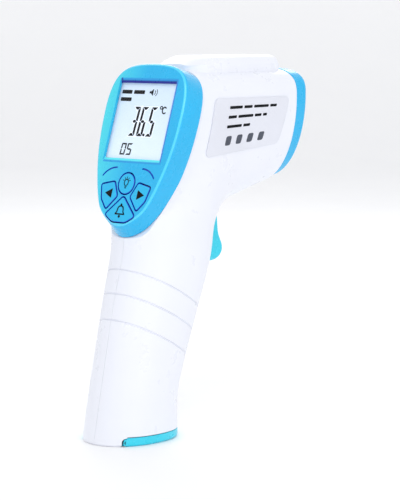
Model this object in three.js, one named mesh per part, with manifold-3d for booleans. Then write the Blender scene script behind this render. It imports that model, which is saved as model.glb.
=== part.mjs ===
// Pistol-shaped infrared thermometer: a white two-half housing with a blue display bezel, nose ring,
// trigger and battery door, and everything the housing holds.
// Frame: millimetres, +X is where it aims, +Y is the holder's left, +Z is up.
// The origin is the middle of the flat foot of the grip.
import * as THREE from "three";
import { mergeVertices } from "three/addons/utils/BufferGeometryUtils.js";
import Module from "manifold-3d";

const wasm = await Module();
wasm.setup();

// ---------------------------------------------------------------- driving dimensions
const WALL = 2.2; // housing wall
const GAP = 0.3; // clearance between neighbouring pieces
const SEAM = 0.1; // each half stops this far from the middle plane
const HALF_WIDTH = 20; // barrel

const NOSE_X = 80; // front face of the nose ring
const RING_DEPTH = 6.7;
const NOSE_ROUND = 1.6;
const BARREL = { top: 142, widest: 131.5, widestDrop: 0.16, bottom: 97.7, bottomDrop: 0.256 };
const GRIP = { width: 15.6, swell: 0.05, waist: 0.28, top: 112 };
// Where each edge of the grip starts, how it leans, and its bends: height, change of lean, softness.
const GRIP_FRONT = { start: 18.1, lean: -0.06, bends: [[18, 0.46, 3], [68, -0.33, 4]] };
const GRIP_BACK = { start: -21.7, lean: 0.205, bends: [[52, 0.085, 4], [73, -0.29, 2]] };
const GROOVE = { width: 0.7, depth: 0.5, slope: 0.53, heights: [[-7.2, 66.3], [-9.5, 57.1], [-12.8, 47.7]] };
const BLEND = { back: 2, front: 13, x: [0, 30] }; // how softly the barrel and the grip flow together

const DISPLAY_TILT = THREE.MathUtils.degToRad(18); // leans back from the vertical
const DISPLAY_CENTRE = new THREE.Vector3(4.4, 0, 122.65); // centre of the window, on the bezel's face
const BEZEL_DEPTH = 10;
const BEZEL_ROUND = 1.2;
const BEZEL_TIP = { rise: 3.4, depth: 5, from: 33, to: 45 }; // the tip draws up towards the face
const PLATE = 2; // bezel front plate
const WINDOW = { left: -15.5, right: 14.1, y: 15.1, flareX: [0.2, 1.4], flareY: 1.8, flare: 0.7, lip: 1 };
const GLASS = { left: -16.3, right: 14.9, bottom: -16.6, top: 15.9 }; // window pane and display cell
const SCREEN_STACK = { pane: [-1.7, -1.1], cell: [-4, -1.8], light: [-7.4, -4.3], seat: -8.3 };
const REAR_DEPTH = 7; // the housing's own rear face, behind the bezel's face
// How deep the bezel sits in the housing, going down its face: height, depth.
const BEZEL_SEAT = [[-18, 10.3], [-26, 9.5], [-34, 8.5], [-41, 7.3], [-44, 6], [-46, 4.4]];
const KEY = { top: 0.1, bottom: -5, edge: 0.4, clearance: 0.35 };
const BOARD = { inset: 3.2, back: -10.2, front: -8.6, screwU: 13, screwV: -21.1 };
const MEMBRANE = { back: -8.2, front: -7.2, padTop: -5.3 };

const BLOCK = { rear: 21, front: 73, halfWidth: 12.5, rearRound: 10, frontRound: 3.5 }; // raised top block
// Height, then how far the block's rear end, sides and front end have drawn in.
const BLOCK_LEVELS = [
  [131.5, 0, 0, 0],
  [143.5, 0, 0, 0],
  [145.2, 3.5, 0.9, 0.6],
  [146.6, 7, 2.2, 1.6],
  [147.3, 10, 3.9, 3.2],
];
const AIM_Z = 121; // optical axis
const TRIGGER_PIVOT = { x: 39, z: 88 };
const TRIGGER_HALF = 5.5; // half its width
const TRIGGER_ROUND = 1.5;
const TRIGGER_PIN = 7.3; // half its length
const SWITCH_Z = 82;
const DOOR = { top: 3.4, floor: 2, pivotX: -15.2, pivotZ: 1.5, wall: 1.8 };
const CELL = { r: 7.25, length: 49.2, nub: 1.2, nubR: 2.75, pitch: 7.45 }; // pitch is each cell's offset
const CELL_STACK = { lean: Math.atan(0.25), foot: [-2.36, 8.7] };
const SCREW_PLACES = [[66, 136], [30, 136.3], [52, 99], [3, 71.5]]; // x, z of the housing screws
const SCREW_WEB = 8; // the screw heads sit this far left of the middle plane

// ---------------------------------------------------------------- solids
const V = (x, y, z) => new THREE.Vector3(x, y, z);

function toSolid(geometry, matrix) {
  const bare = geometry.index ? geometry.toNonIndexed() : geometry.clone();
  const points = new THREE.BufferGeometry().setAttribute("position", bare.getAttribute("position"));
  if (matrix) points.applyMatrix4(matrix);
  const merged = mergeVertices(points, 1e-4);
  const kept = [];
  const index = merged.index.array;
  for (let i = 0; i < index.length; i += 3) {
    const [a, b, c] = [index[i], index[i + 1], index[i + 2]];
    if (a !== b && b !== c && a !== c) kept.push(a, b, c);
  }
  const vertProperties = merged.attributes.position.array;
  return new wasm.Manifold(new wasm.Mesh({ numProp: 3, vertProperties, triVerts: new Uint32Array(kept) }));
}

function toGeometry(solid) {
  const mesh = solid.getMesh();
  const positions = new Float32Array(mesh.numVert * 3);
  for (let i = 0; i < mesh.numVert; i++) {
    positions.set(mesh.vertProperties.subarray(i * mesh.numProp, i * mesh.numProp + 3), i * 3);
  }
  const geometry = new THREE.BufferGeometry();
  geometry.setAttribute("position", new THREE.BufferAttribute(positions, 3));
  geometry.setIndex(new THREE.BufferAttribute(mesh.triVerts, 1));
  geometry.computeVertexNormals();
  return geometry;
}

const join = (...solids) => solids.reduce((a, b) => a.add(b));

function box(x0, x1, y0, y1, z0, z1) {
  const geometry = new THREE.BoxGeometry(x1 - x0, y1 - y0, z1 - z0);
  return toSolid(geometry.translate((x0 + x1) / 2, (y0 + y1) / 2, (z0 + z1) / 2));
}

// A cylinder or cone from one point to another.
function rod(from, to, r, endR = r, segments = 20) {
  const along = to.clone().sub(from);
  const geometry = new THREE.CylinderGeometry(endR, r, along.length(), segments);
  const turn = new THREE.Quaternion().setFromUnitVectors(V(0, 1, 0), along.clone().normalize());
  const middle = from.clone().addScaledVector(along, 0.5);
  return toSolid(geometry.applyQuaternion(turn).translate(...middle.toArray()));
}

const rodY = (x, z, y0, y1, r, segments) => rod(V(x, y0, z), V(x, y1, z), r, r, segments);

// A turned piece about the line through (0, 0, z) along X; the profile is [radius, x] pairs.
function turnedX(profile, z, segments = 24) {
  const lathe = new THREE.LatheGeometry(profile.map(([r, x]) => new THREE.Vector2(r, x)), segments);
  const axes = new THREE.Matrix4().makeBasis(V(0, 0, 1), V(1, 0, 0), V(0, 1, 0));
  return toSolid(lathe, axes.setPosition(0, 0, z));
}

function extrude(shape, depth, options = {}) {
  return new THREE.ExtrudeGeometry(shape, { depth, bevelEnabled: false, curveSegments: 6, ...options });
}

// Options that round an extrusion's edges without growing its outline.
const roundEdge = (r, steps) =>
  ({ bevelEnabled: true, bevelThickness: r, bevelSize: r, bevelOffset: -r, bevelSegments: steps });

// A shape drawn in X and Z, given thickness along Y.
function slabXZ(shape, y0, y1, options) {
  const axes = new THREE.Matrix4().makeBasis(V(1, 0, 0), V(0, 0, 1), V(0, -1, 0));
  return toSolid(extrude(shape, y1 - y0, options), axes.setPosition(0, y1, 0));
}

// A shape drawn in Y and Z, given thickness along X.
function slabYZ(shape, x0, x1, options) {
  const axes = new THREE.Matrix4().makeBasis(V(0, 1, 0), V(0, 0, 1), V(1, 0, 0));
  return toSolid(extrude(shape, x1 - x0, options), axes.setPosition(x0, 0, 0));
}

// A shape drawn in X and Y, given thickness along Z.
const slabXY = (shape, z0, z1, options) => toSolid(extrude(shape, z1 - z0, options).translate(0, 0, z0));

// ---------------------------------------------------------------- outlines
const shapeOf = (points) => new THREE.Shape(points.map(([x, y]) => new THREE.Vector2(x, y)));

// A polygon whose corners are rounded.
function roundedShape(corners, radius) {
  const shape = new THREE.Shape();
  const n = corners.length;
  corners.forEach((corner, i) => {
    const here = new THREE.Vector2(...corner);
    const toward = (j) => {
      const step = new THREE.Vector2(...corners[(j + n) % n]).sub(here);
      return here.clone().addScaledVector(step.normalize(), radius);
    };
    const [before, after] = [toward(i - 1), toward(i + 1)];
    if (i === 0) shape.moveTo(before.x, before.y);
    else shape.lineTo(before.x, before.y);
    shape.quadraticCurveTo(here.x, here.y, after.x, after.y);
  });
  shape.closePath();
  return shape;
}

const roundedRect = (w, h, r) => roundedShape([[-w, -h], [w, -h], [w, h], [-w, h]], r);

// The same outline grown outwards (or shrunk, if negative) by a distance.
function offsetShape(shape, distance, divisions = 8) {
  const points = shape.getPoints(divisions).filter((p, i, all) => i === 0 || p.distanceTo(all[i - 1]) > 1e-3);
  if (points[0].distanceTo(points[points.length - 1]) < 1e-3) points.pop();
  const sign = THREE.ShapeUtils.isClockWise(points) ? -1 : 1;
  const n = points.length;
  return new THREE.Shape(points.map((p, i) => {
    const a = p.clone().sub(points[(i + n - 1) % n]).normalize();
    const b = points[(i + 1) % n].clone().sub(p).normalize();
    const normal = new THREE.Vector2(a.y + b.y, -a.x - b.x).normalize();
    const miter = 1 / Math.max(0.5, normal.dot(new THREE.Vector2(a.y, -a.x)));
    return p.clone().addScaledVector(normal, sign * distance * miter);
  }));
}

// Bezel outline, in the display's own frame: a shield, wide above and narrow below.
function bezelOutline() {
  const [top, tip, wide, waist] = [22.9, -45, [21.2, 4], [15.9, -27.5]];
  const shape = new THREE.Shape().moveTo(0, top);
  shape.bezierCurveTo(14.5, top, wide[0], 20.5, ...wide);
  shape.bezierCurveTo(wide[0], -8, 19.6, -17, ...waist);
  shape.bezierCurveTo(13, -35.5, 7.5, tip, 0, tip);
  shape.bezierCurveTo(-7.5, tip, -13, -35.5, -waist[0], waist[1]);
  shape.bezierCurveTo(-19.6, -17, -wide[0], -8, -wide[0], wide[1]);
  shape.bezierCurveTo(-wide[0], 20.5, -14.5, top, 0, top);
  return shape;
}

// Keys, in the display's own frame.
const SIDE_KEY = [[6.4, -24.5], [13.1, -25.9], [11.6, -31.6], [8.2, -35.4], [3.5, -30.1]];
const mirrored = (points) => points.map(([u, v]) => [-u, v]);
const KEYS = {
  light_button: new THREE.Shape().absarc(0, -25, 4.1, 0, Math.PI * 2),
  right_button: roundedShape(SIDE_KEY, 0.9),
  left_button: roundedShape(mirrored(SIDE_KEY).reverse(), 0.9),
  alarm_button: roundedShape([[0, -30], [-7.9, -37.6], [-3.6, -40.2], [3.6, -40.2], [7.9, -37.6]], 1.3),
};

// ---------------------------------------------------------------- the housing's outer surface
// Distance from an ellipse-like section, measured along the line from its centre.
function radial(a, b, reachA, reachB, power) {
  const share = (Math.abs(a / reachA) ** power + Math.abs(b / reachB) ** power) ** (1 / power);
  return share < 1e-6 ? -Math.min(reachA, reachB) : Math.hypot(a, b) * (1 - 1 / share);
}

const ramp = (x, softness) => softness * Math.log1p(Math.exp(x / softness));

// A point in the middle plane, given by its height up the bezel's face and its depth behind it.
function behindFace(up, depth) {
  const [c, s] = [Math.cos(DISPLAY_TILT), Math.sin(DISPLAY_TILT)];
  return [DISPLAY_CENTRE.x + s * up + c * depth, DISPLAY_CENTRE.z + c * up - s * depth];
}

// How far a point is behind the bezel's face.
function displayDepth(x, z) {
  const [dx, dz] = [x - DISPLAY_CENTRE.x, z - DISPLAY_CENTRE.z];
  return dx * Math.cos(DISPLAY_TILT) - dz * Math.sin(DISPLAY_TILT);
}

function barrelDistance(x, y, z) {
  const behind = NOSE_X - x;
  const widest = BARREL.widest - BARREL.widestDrop * behind;
  const rise = z - widest;
  const reach = rise > 0 ? BARREL.top - widest : widest - BARREL.bottom + BARREL.bottomDrop * behind;
  const section = radial(y, rise, HALF_WIDTH, reach, rise > 0 ? 3 : 2);
  return Math.max(section, REAR_DEPTH - displayDepth(x, z));
}

const edgeAt = ({ start, lean, bends }, z) =>
  bends.reduce((x, [height, change, softness]) => x + change * ramp(z - height, softness), start + lean * z);

function gripDistance(x, y, z) {
  const front = edgeAt(GRIP_FRONT, z);
  const slant = REAR_DEPTH + (z - DISPLAY_CENTRE.z) * Math.sin(DISPLAY_TILT);
  const rearPlane = DISPLAY_CENTRE.x + slant / Math.cos(DISPLAY_TILT);
  const back = THREE.MathUtils.lerp(edgeAt(GRIP_BACK, z), rearPlane, THREE.MathUtils.smoothstep(z, 79, 93));
  const width = GRIP.width + GRIP.swell * ramp(z - 45, 5) - GRIP.waist * ramp(z - 86, 4);
  const section = radial(x - (front + back) / 2, y, (front - back) / 2, width, 2.2);
  return Math.max(section, z - GRIP.top);
}

function bodyDistance(x, y, z) {
  const [a, b] = [barrelDistance(x, y, z), gripDistance(x, y, z)];
  const blend = THREE.MathUtils.lerp(BLEND.back, BLEND.front, THREE.MathUtils.smoothstep(x, ...BLEND.x));
  const near = Math.max(blend - Math.abs(a - b), 0) / blend;
  return Math.min(a, b) - (near * near * blend) / 4;
}

// Section planes from the nose to below the foot: upright along the barrel, fanning about a point under
// it, then sloping down the grip. Each is a centre and the direction its rays start from.
function sections() {
  const fan = { x: 58, z: 78, r: 40, from: 90, to: 28 };
  const footZ = -17; // well below the foot, which is cut flat later
  const gripLean = 0.221;
  const rows = [];
  for (const x of [86, 78, 69]) rows.push({ centre: V(x, 0, fan.z + fan.r), start: V(0, 0, 1) });
  const turns = 8;
  for (let i = 0; i <= turns; i++) {
    const angle = THREE.MathUtils.degToRad(THREE.MathUtils.lerp(fan.from, fan.to, i / turns));
    const start = V(-Math.cos(angle), 0, Math.sin(angle));
    rows.push({ centre: V(fan.x, 0, fan.z).addScaledVector(start, fan.r + (3 * i) / turns), start });
  }
  const { centre: top, start } = rows[rows.length - 1];
  const foot = V(top.x - gripLean * (top.z - footZ), 0, footZ);
  const steps = 9;
  for (let i = 1; i <= steps; i++) rows.push({ centre: top.clone().lerp(foot, i / steps), start });
  return rows;
}

function surfacePoint(centre, direction, offset) {
  const at = (t) => bodyDistance(...centre.clone().addScaledVector(direction, t).toArray()) - offset;
  let far = 1;
  while (at(far) < 0) far += 1;
  let near = far - 1;
  for (let i = 0; i < 22; i++) {
    const middle = (near + far) / 2;
    if (at(middle) < 0) near = middle;
    else far = middle;
  }
  return centre.clone().addScaledVector(direction, far);
}

// A closed skin through loops of equally many points, each turning the same way; a point closes each end.
function skin(loops, startCentre, endCentre) {
  const around = loops[0].length;
  const positions = [...loops.flat(), startCentre, endCentre].flatMap((p) => p.toArray());
  const [startPoint, endPoint] = [loops.length * around, loops.length * around + 1];
  const last = (loops.length - 1) * around;
  const index = [];
  for (let j = 0; j < around; j++) {
    const next = (j + 1) % around;
    index.push(startPoint, next, j);
    index.push(endPoint, last + j, last + next);
    for (let i = 0; i + 1 < loops.length; i++) {
      const [here, above] = [i * around, (i + 1) * around];
      const [a, b, c, d] = [here + j, here + next, above + j, above + next];
      index.push(a, b, c, b, d, c);
    }
  }
  const geometry = new THREE.BufferGeometry();
  geometry.setAttribute("position", new THREE.Float32BufferAttribute(positions, 3));
  return geometry.setIndex(index);
}

// The housing as one closed solid, grown or shrunk by an offset.
function bodyGeometry(offset, around = 32) {
  const rows = sections();
  const loops = rows.map(({ centre, start }) =>
    Array.from({ length: around }, (_, j) => {
      const angle = (2 * Math.PI * j) / around;
      const direction = start.clone().multiplyScalar(Math.cos(angle)).add(V(0, Math.sin(angle), 0));
      return surfacePoint(centre, direction, offset);
    }));
  return skin(loops, rows[0].centre, rows[rows.length - 1].centre);
}

const displayMatrix = new THREE.Matrix4()
  .makeBasis(
    V(0, -1, 0),
    V(Math.sin(DISPLAY_TILT), 0, Math.cos(DISPLAY_TILT)),
    V(-Math.cos(DISPLAY_TILT), 0, Math.sin(DISPLAY_TILT)),
  )
  .setPosition(DISPLAY_CENTRE);

// A shape drawn on the display's face, as a solid in the object's frame.
const displaySlab = (shape, z0, z1) => toSolid(extrude(shape, z1 - z0).translate(0, 0, z0), displayMatrix);

// Section of the nose, in Y and Z.
function noseOutline(inset = 0) {
  const { top, widest, bottom } = BARREL;
  const points = [];
  const around = 48;
  for (let i = 0; i < around; i++) {
    const angle = (2 * Math.PI * i) / around;
    const [c, s] = [Math.cos(angle), Math.sin(angle)];
    const power = s > 0 ? 2 / 3 : 1;
    const reach = s > 0 ? top - widest : widest - bottom;
    const y = Math.sign(c) * HALF_WIDTH * Math.abs(c) ** power;
    points.push([y, widest + Math.sign(s) * reach * Math.abs(s) ** power]);
  }
  return inset ? offsetShape(shapeOf(points), -inset) : shapeOf(points);
}

// ---------------------------------------------------------------- housing halves
// Level outlines that draw in towards the top, most of all at the rounded rear end.
function topBlock() {
  const { rear, front, halfWidth, rearRound, frontRound } = BLOCK;
  const loops = BLOCK_LEVELS.map(([z, back, side, end]) => {
    const [x0, x1, y] = [rear + back, front - end, halfWidth - side];
    const corner = (cx, cy, r, from) =>
      Array.from({ length: 6 }, (_, i) => {
        const angle = ((from + i / 5) * Math.PI) / 2;
        return V(cx + r * Math.cos(angle), cy + r * Math.sin(angle), z);
      });
    const [big, small] = [rearRound - side, frontRound - side / 2];
    return [
      ...corner(x1 - small, y - small, small, 0),
      ...corner(x0 + big, y - big, big, 1),
      ...corner(x0 + big, -y + big, big, 2),
      ...corner(x1 - small, -y + small, small, 3),
    ];
  });
  const middle = (rear + front) / 2;
  const [lowest, highest] = [BLOCK_LEVELS[0][0], BLOCK_LEVELS[BLOCK_LEVELS.length - 1][0]];
  return toSolid(skin(loops, V(middle, 0, lowest), V(middle, 0, highest)));
}

// Everything inside the cavity that belongs to the housing: ribs, bosses and seats.
function ribs() {
  const cradle = (x) => box(x, x + 1.5, -30, 30, AIM_Z - 12, AIM_Z + 12);
  const bore = rod(V(40, 0, AIM_Z), V(70, 0, AIM_Z), 8.3);
  const bosses = SCREW_PLACES.map(([x, z]) => rodY(x, z, -30, 30, 3.2, 16));
  const { x, z } = TRIGGER_PIVOT;
  const pinBosses = rodY(x, z, -30, 30, 3, 16).subtract(box(30, 50, -6.4, 6.4, 70, 100));
  const springSeat = box(21, 23, -30, 30, 68.5, 76.5);
  const boardGuides = join(box(19.6, 21.3, -30, 30, 77, 90), box(23.2, 24.9, -30, 30, 77, 90));
  const guides = boardGuides.subtract(box(15, 30, -6.3, 6.3, 70, 100));
  return join(join(cradle(51), cradle(57)).subtract(bore), ...bosses, pinBosses, springSeat, guides);
}

function screwHoles() {
  const holes = SCREW_PLACES.map(([x, z]) =>
    join(
      rodY(x, z, -12, 20, 1.5, 12),
      rodY(x, z, SCREW_WEB, 30, 3, 16),
    ));
  return join(...holes);
}

// Two ears that carry the door's hinge pin.
function hingeEars() {
  const { pivotX: x, pivotZ: z } = DOOR;
  const back = x - 2.9;
  const ear = (y0, y1) =>
    join(box(back, x + 1.4, y0, y1, z, 6), rodY(x, z, y0, y1, 1.4, 16), box(back, x, y0, y1, 0.2, z + 0.5));
  return join(ear(-10.7, -9.6), ear(9.6, 10.7))
    .intersect(toSolid(bodyGeometry(0)))
    .subtract(rodY(x, z, -20, 20, 0.95, 12));
}

// Three shallow grooves round the grip, all sloping down to the front.
function gripGrooves() {
  const rind = toSolid(bodyGeometry(1)).subtract(toSolid(bodyGeometry(-GROOVE.depth)));
  const [x0, x1] = [-30, 60];
  const bands = GROOVE.heights.map(([x, z]) => {
    const line = (at, shift) => [at, z - GROOVE.slope * (at - x) + shift];
    const half = GROOVE.width / 2;
    return slabXZ(shapeOf([line(x0, -half), line(x1, -half), line(x1, half), line(x0, half)]), -30, 30);
  });
  return join(...bands).intersect(rind);
}

// The battery door's way out of the foot: round above the hinge's line, upright below it for the door's heel.
function doorWay() {
  const { pivotX: x, pivotZ: z, top } = DOOR;
  const reach = z + GAP;
  const side = new THREE.Shape();
  side.moveTo(x - reach, -5);
  side.lineTo(40, -5);
  side.lineTo(40, top + GAP);
  side.lineTo(x, top + GAP);
  side.absarc(x, z, reach, Math.PI / 2, Math.PI, false);
  side.closePath();
  return slabXZ(side, -30, 30);
}

function housing() {
  const cavity = toSolid(bodyGeometry(-WALL, 24)).intersect(box(-60, NOSE_X - 4, -40, 40, WALL, 160));
  const trunk = toSolid(bodyGeometry(0)).intersect(box(-60, NOSE_X - RING_DEPTH, -40, 40, 0, 160));
  const outer = trunk.add(topBlock());
  const opening = offsetShape(bezelOutline(), -PLATE - GAP);
  const rear = BEZEL_DEPTH + GAP;
  const rearCut = [[60, -20], [60, rear], ...BEZEL_SEAT, [-46, -20]].map((p) => behindFace(...p));
  const slotSide = shapeOf([
    [28, 64.6], [60, 64.6], [60, 72], [45.4, 80], [44.2, 85], [43.6, 91.8], [28, 91.8],
  ]);
  const triggerSlot = slabXZ(slotSide, -TRIGGER_HALF - 0.5, TRIGGER_HALF + 0.5);
  return outer
    .subtract(cavity.subtract(ribs()))
    .subtract(slabXZ(shapeOf(rearCut), -30, 30))
    .subtract(displaySlab(opening, -14, 20))
    .subtract(triggerSlot)
    .subtract(doorWay())
    .subtract(gripGrooves())
    .add(hingeEars())
    .subtract(screwHoles())
    .subtract(rodY(TRIGGER_PIVOT.x, TRIGGER_PIVOT.z, -TRIGGER_PIN - GAP, TRIGGER_PIN + GAP, 1.45, 14));
}

// ---------------------------------------------------------------- display, in its own frame
// A solid that follows the bezel's outline through levels of inset and height.
function bezelSkin(levels) {
  const { rise, depth, from, to } = BEZEL_TIP;
  const lift = (v, w) => rise * THREE.MathUtils.smoothstep(-v, from, to) * Math.max(0, 1 + w / depth);
  const loops = levels.map(([inset, w]) =>
    offsetShape(bezelOutline(), -inset, 7).getPoints().reverse().map((p) => V(p.x, p.y + lift(p.y, w), w)));
  return toSolid(skin(loops, V(0, 0, levels[0][1]), V(0, 0, levels[levels.length - 1][1])));
}

function displayBezel() {
  const r = BEZEL_ROUND;
  const round = [0, 30, 60, 90].map((degrees) => {
    const angle = THREE.MathUtils.degToRad(degrees);
    return [r * (1 - Math.cos(angle)), -r * (1 - Math.sin(angle))];
  });
  const cap = bezelSkin([[0, -BEZEL_DEPTH], [0, -BEZEL_TIP.depth], ...round]);
  const hollow = bezelSkin([[PLATE, -20], [PLATE, -BEZEL_TIP.depth], [PLATE, -PLATE]]);
  const [u0, u1] = [GLASS.left - GAP, GLASS.right + GAP];
  const glassRelief = box(u0, u1, GLASS.bottom - GAP, GLASS.top + GAP, -PLATE - 1, -WINDOW.lip);
  const keyHoles = Object.values(KEYS).map((key) => slabXY(offsetShape(key, KEY.clearance, 4), -5, 2));
  const { screwU: u, screwV: v } = BOARD;
  const post = (at) => rod(V(at, v, BOARD.front + GAP), V(at, v, -PLATE + 0.2), 1.7, 1.7, 12);
  const screwHole = (at) => rod(V(at, v, -9), V(at, v, -3), 1.05, 1.05, 10);
  return cap
    .subtract(hollow)
    .subtract(bezelRear())
    .subtract(windowOpening())
    .subtract(glassRelief)
    .subtract(join(...keyHoles))
    .add(join(post(u), post(-u)))
    .subtract(join(screwHole(u), screwHole(-u)))
    .subtract(join(arcGroove(1), arcGroove(-1)));
}

// What the bezel's rear edge leaves free, going down: it follows its seat on the housing.
function bezelRear() {
  const edge = BEZEL_SEAT.map(([v, depth]) => [v, GAP - depth]);
  const [top, low] = [edge[0][0], edge[edge.length - 1]];
  const side = shapeOf([...edge, [low[0] - 4, low[1]], [low[0] - 4, -20], [top, -20]]);
  return slabYZ(side, -30, 30);
}

// Straight through the lip, then flaring towards the front.
function windowOpening() {
  const { left, right, y, flareX, flareY, flare } = WINDOW;
  const overshoot = 1.5; // carries the flare on past the face
  const rectangle = (grow, w) => {
    const [u0, u1, v] = [left - flareX[0] * grow, right + flareX[1] * grow, y + flareY * grow];
    return [V(u0, -v, w), V(u1, -v, w), V(u1, v, w), V(u0, v, w)];
  };
  const [inner, outer] = [-PLATE - 1, flare * (overshoot - 1)];
  const loops = [rectangle(0, inner), rectangle(0, -flare), rectangle(overshoot, outer)];
  return toSolid(skin(loops, V(0, 0, inner), V(0, 0, outer)));
}

// A thin curved groove above the outer keys.
function arcGroove(side) {
  const line = new THREE.QuadraticBezierCurve(
    new THREE.Vector2(6.9, -18.9), new THREE.Vector2(11.4, -19.2), new THREE.Vector2(13.9, -22.8));
  const points = line.getPoints(6);
  const edge = (shift) => points.map((p, i) => {
    const tangent = line.getTangent(i / 6);
    return [side * (p.x - shift * tangent.y), p.y + shift * tangent.x];
  });
  return slabXY(shapeOf([...edge(0.3), ...edge(-0.3).reverse()]), -0.5, 1);
}

function keycap(name) {
  const bevel = { ...roundEdge(KEY.edge, 2), curveSegments: 4 };
  return slabXY(KEYS[name], KEY.bottom - 4, KEY.top - KEY.edge, bevel)
    .intersect(box(-30, 30, -60, 0, KEY.bottom, 2));
}

function keypadMembrane() {
  const { back, front, padTop } = MEMBRANE;
  const edge = [[8, -40.4], [12, -33], [13, -22.9]];
  const outline = roundedShape([...mirrored(edge).reverse(), ...edge], 2);
  const pad = (u, v, r) => rod(V(u, v, front - 0.2), V(u, v, padTop), r + 0.8, r, 14);
  const within = slabXY(offsetShape(bezelOutline(), -PLATE - 2 * GAP, 4), -9, -5);
  const fitted = slabXY(outline, back, front).intersect(within);
  return join(fitted, pad(0, -24.6, 3.2), pad(8.3, -29.6, 3), pad(-8.3, -29.6, 3), pad(0, -36.2, 3.2));
}

function mainBoard() {
  const { inset, back, front, screwU, screwV } = BOARD;
  const board = slabXY(offsetShape(bezelOutline(), -inset), back, front);
  const hole = (u) => rod(V(u, screwV, -12), V(u, screwV, -5), 1.1, 1.1, 10);
  return board.subtract(join(hole(screwU), hole(-screwU)));
}

// The frame the display cell rests on, round the backlight and the contact strip.
function lcdFrame() {
  const { left, right, bottom, top } = GLASS;
  const [u0, u1, v0, v1] = [left - 1.4, right + 1.4, bottom - 1.6, top + 1.6];
  const outline = roundedShape([[u0, v0], [u1, v0], [u1, v1], [u0, v1]], 1);
  return slabXY(outline, SCREEN_STACK.seat, SCREEN_STACK.light[1])
    .intersect(slabXY(offsetShape(bezelOutline(), -PLATE - GAP), -9, 0))
    .subtract(box(left + 0.6, right - 0.6, bottom - 0.2, top, -9, 0));
}

// A small pan-head screw in the display's frame, driven from behind.
function boardScrew(u) {
  const v = BOARD.screwV;
  const at = (z) => V(u, v, z);
  const head = rod(at(-12), at(BOARD.back - GAP), 1.9, 2.1, 14);
  const slot = (halfU, halfV) => box(u - halfU, u + halfU, v - halfV, v + halfV, -13, -11.3);
  return head.subtract(join(slot(1.3, 0.3), slot(0.3, 1.3))).add(rod(at(-10.6), at(-4.5), 0.9, 0.9, 10));
}

// ---------------------------------------------------------------- nose and sensor
function noseRing() {
  const back = NOSE_X - RING_DEPTH + GAP;
  const whole = slabYZ(noseOutline(), back - 3, NOSE_X - NOSE_ROUND, roundEdge(NOSE_ROUND, 3));
  const cap = whole.intersect(box(back, NOSE_X + 1, -40, 40, 0, 200));
  const hollow = slabYZ(noseOutline(2), back - 5, NOSE_X - 2);
  return cap.subtract(hollow).subtract(rod(V(60, 0, AIM_Z), V(90, 0, AIM_Z), 10.2, 10.2, 32));
}

// Turned pieces on the aiming line, as radius and X.
const FUNNEL = [
  [3.4, 60.2], [4.6, 60.2], [9.4, 74], [13.5, 74], [13.5, 77.5],
  [9.9, 77.5], [9.9, 79.3], [8.9, 79.3], [3.4, 60.2],
];
const HEATSINK = [
  [4.9, 51], [8, 51], [8, 55.5], [7.2, 55.5], [7.2, 56.5], [8, 56.5],
  [8, 59.8], [3.4, 59.8], [3.4, 58.2], [4.9, 58.2], [4.9, 51],
];
const CAN = [
  [0, 53], [4.6, 53], [4.6, 53.6], [4.1, 53.6], [4.1, 57.4], [2.6, 57.4], [2.6, 56.9], [0, 56.9],
];

function thermopileCan() {
  const can = turnedX(CAN, AIM_Z);
  const lead = (y, z) => rod(V(44.8, y, AIM_Z + z), V(53.2, y, AIM_Z + z), 0.23, 0.23, 6);
  return join(can, lead(1.8, 1.8), lead(-1.8, 1.8), lead(1.8, -1.8), lead(-1.8, -1.8));
}

function sensorBoard() {
  const disc = rod(V(46.4, 0, AIM_Z), V(47.6, 0, AIM_Z), 9, 9, 28);
  const hole = (y, z) => rod(V(45, y, AIM_Z + z), V(49, y, AIM_Z + z), 0.55, 0.55, 8);
  return disc.subtract(join(hole(1.8, 1.8), hole(-1.8, 1.8), hole(1.8, -1.8), hole(-1.8, -1.8)));
}

// A cable of any section along a smooth path.
function cable(points, section, steps) {
  const path = new THREE.CatmullRomCurve3(points.map((p) => V(...p)));
  return toSolid(new THREE.ExtrudeGeometry(section, { steps, extrudePath: path, curveSegments: 3 }));
}

const roundSection = (r) => new THREE.Shape().absarc(0, 0, r, 0, Math.PI * 2);

class Helix extends THREE.Curve {
  constructor(turns, length, r, endR = r) {
    super();
    Object.assign(this, { turns, length, r, endR });
  }

  getPoint(t, target = new THREE.Vector3()) {
    const angle = 2 * Math.PI * this.turns * t;
    const r = THREE.MathUtils.lerp(this.r, this.endR, t);
    return target.set(r * Math.cos(angle), r * Math.sin(angle), this.length * t);
  }
}

// A wire spring standing on the X-Y plane.
function springGeometry(turns, length, r, wire, endR = r) {
  const section = shapeOf([[wire, 0], [0, wire], [-wire, 0], [0, -wire]]);
  const extrudePath = new Helix(turns, length, r, endR);
  return new THREE.ExtrudeGeometry(section, { steps: Math.round(turns * 10), extrudePath });
}

// ---------------------------------------------------------------- trigger
function trigger() {
  const side = new THREE.Shape().absarc(TRIGGER_PIVOT.x, TRIGGER_PIVOT.z, 3.4, Math.PI * 0.75, 0, true);
  side.bezierCurveTo(42.4, 86, 42.8, 82, 43.1, 79);
  side.bezierCurveTo(43.4, 75, 45.9, 73.5, 45.7, 70.6);
  side.bezierCurveTo(45.4, 67.7, 42.5, 66, 39, 66);
  side.lineTo(31.5, 66.2);
  side.lineTo(31.5, 79.5);
  side.lineTo(28.6, 80);
  side.lineTo(28.6, 84);
  side.closePath();
  const flat = TRIGGER_HALF - TRIGGER_ROUND;
  const blade = slabXZ(side, -flat, flat, roundEdge(TRIGGER_ROUND, 3));
  const nose = box(28.6, 34, -2.6, 2.6, 80.2, 83.6);
  const hollow = box(30, 38.5, -3.6, 3.6, 68, 77.6);
  const { x, z } = TRIGGER_PIVOT;
  return blade.add(nose).subtract(hollow).subtract(rodY(x, z, -20, 20, 1.45, 14));
}

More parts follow.
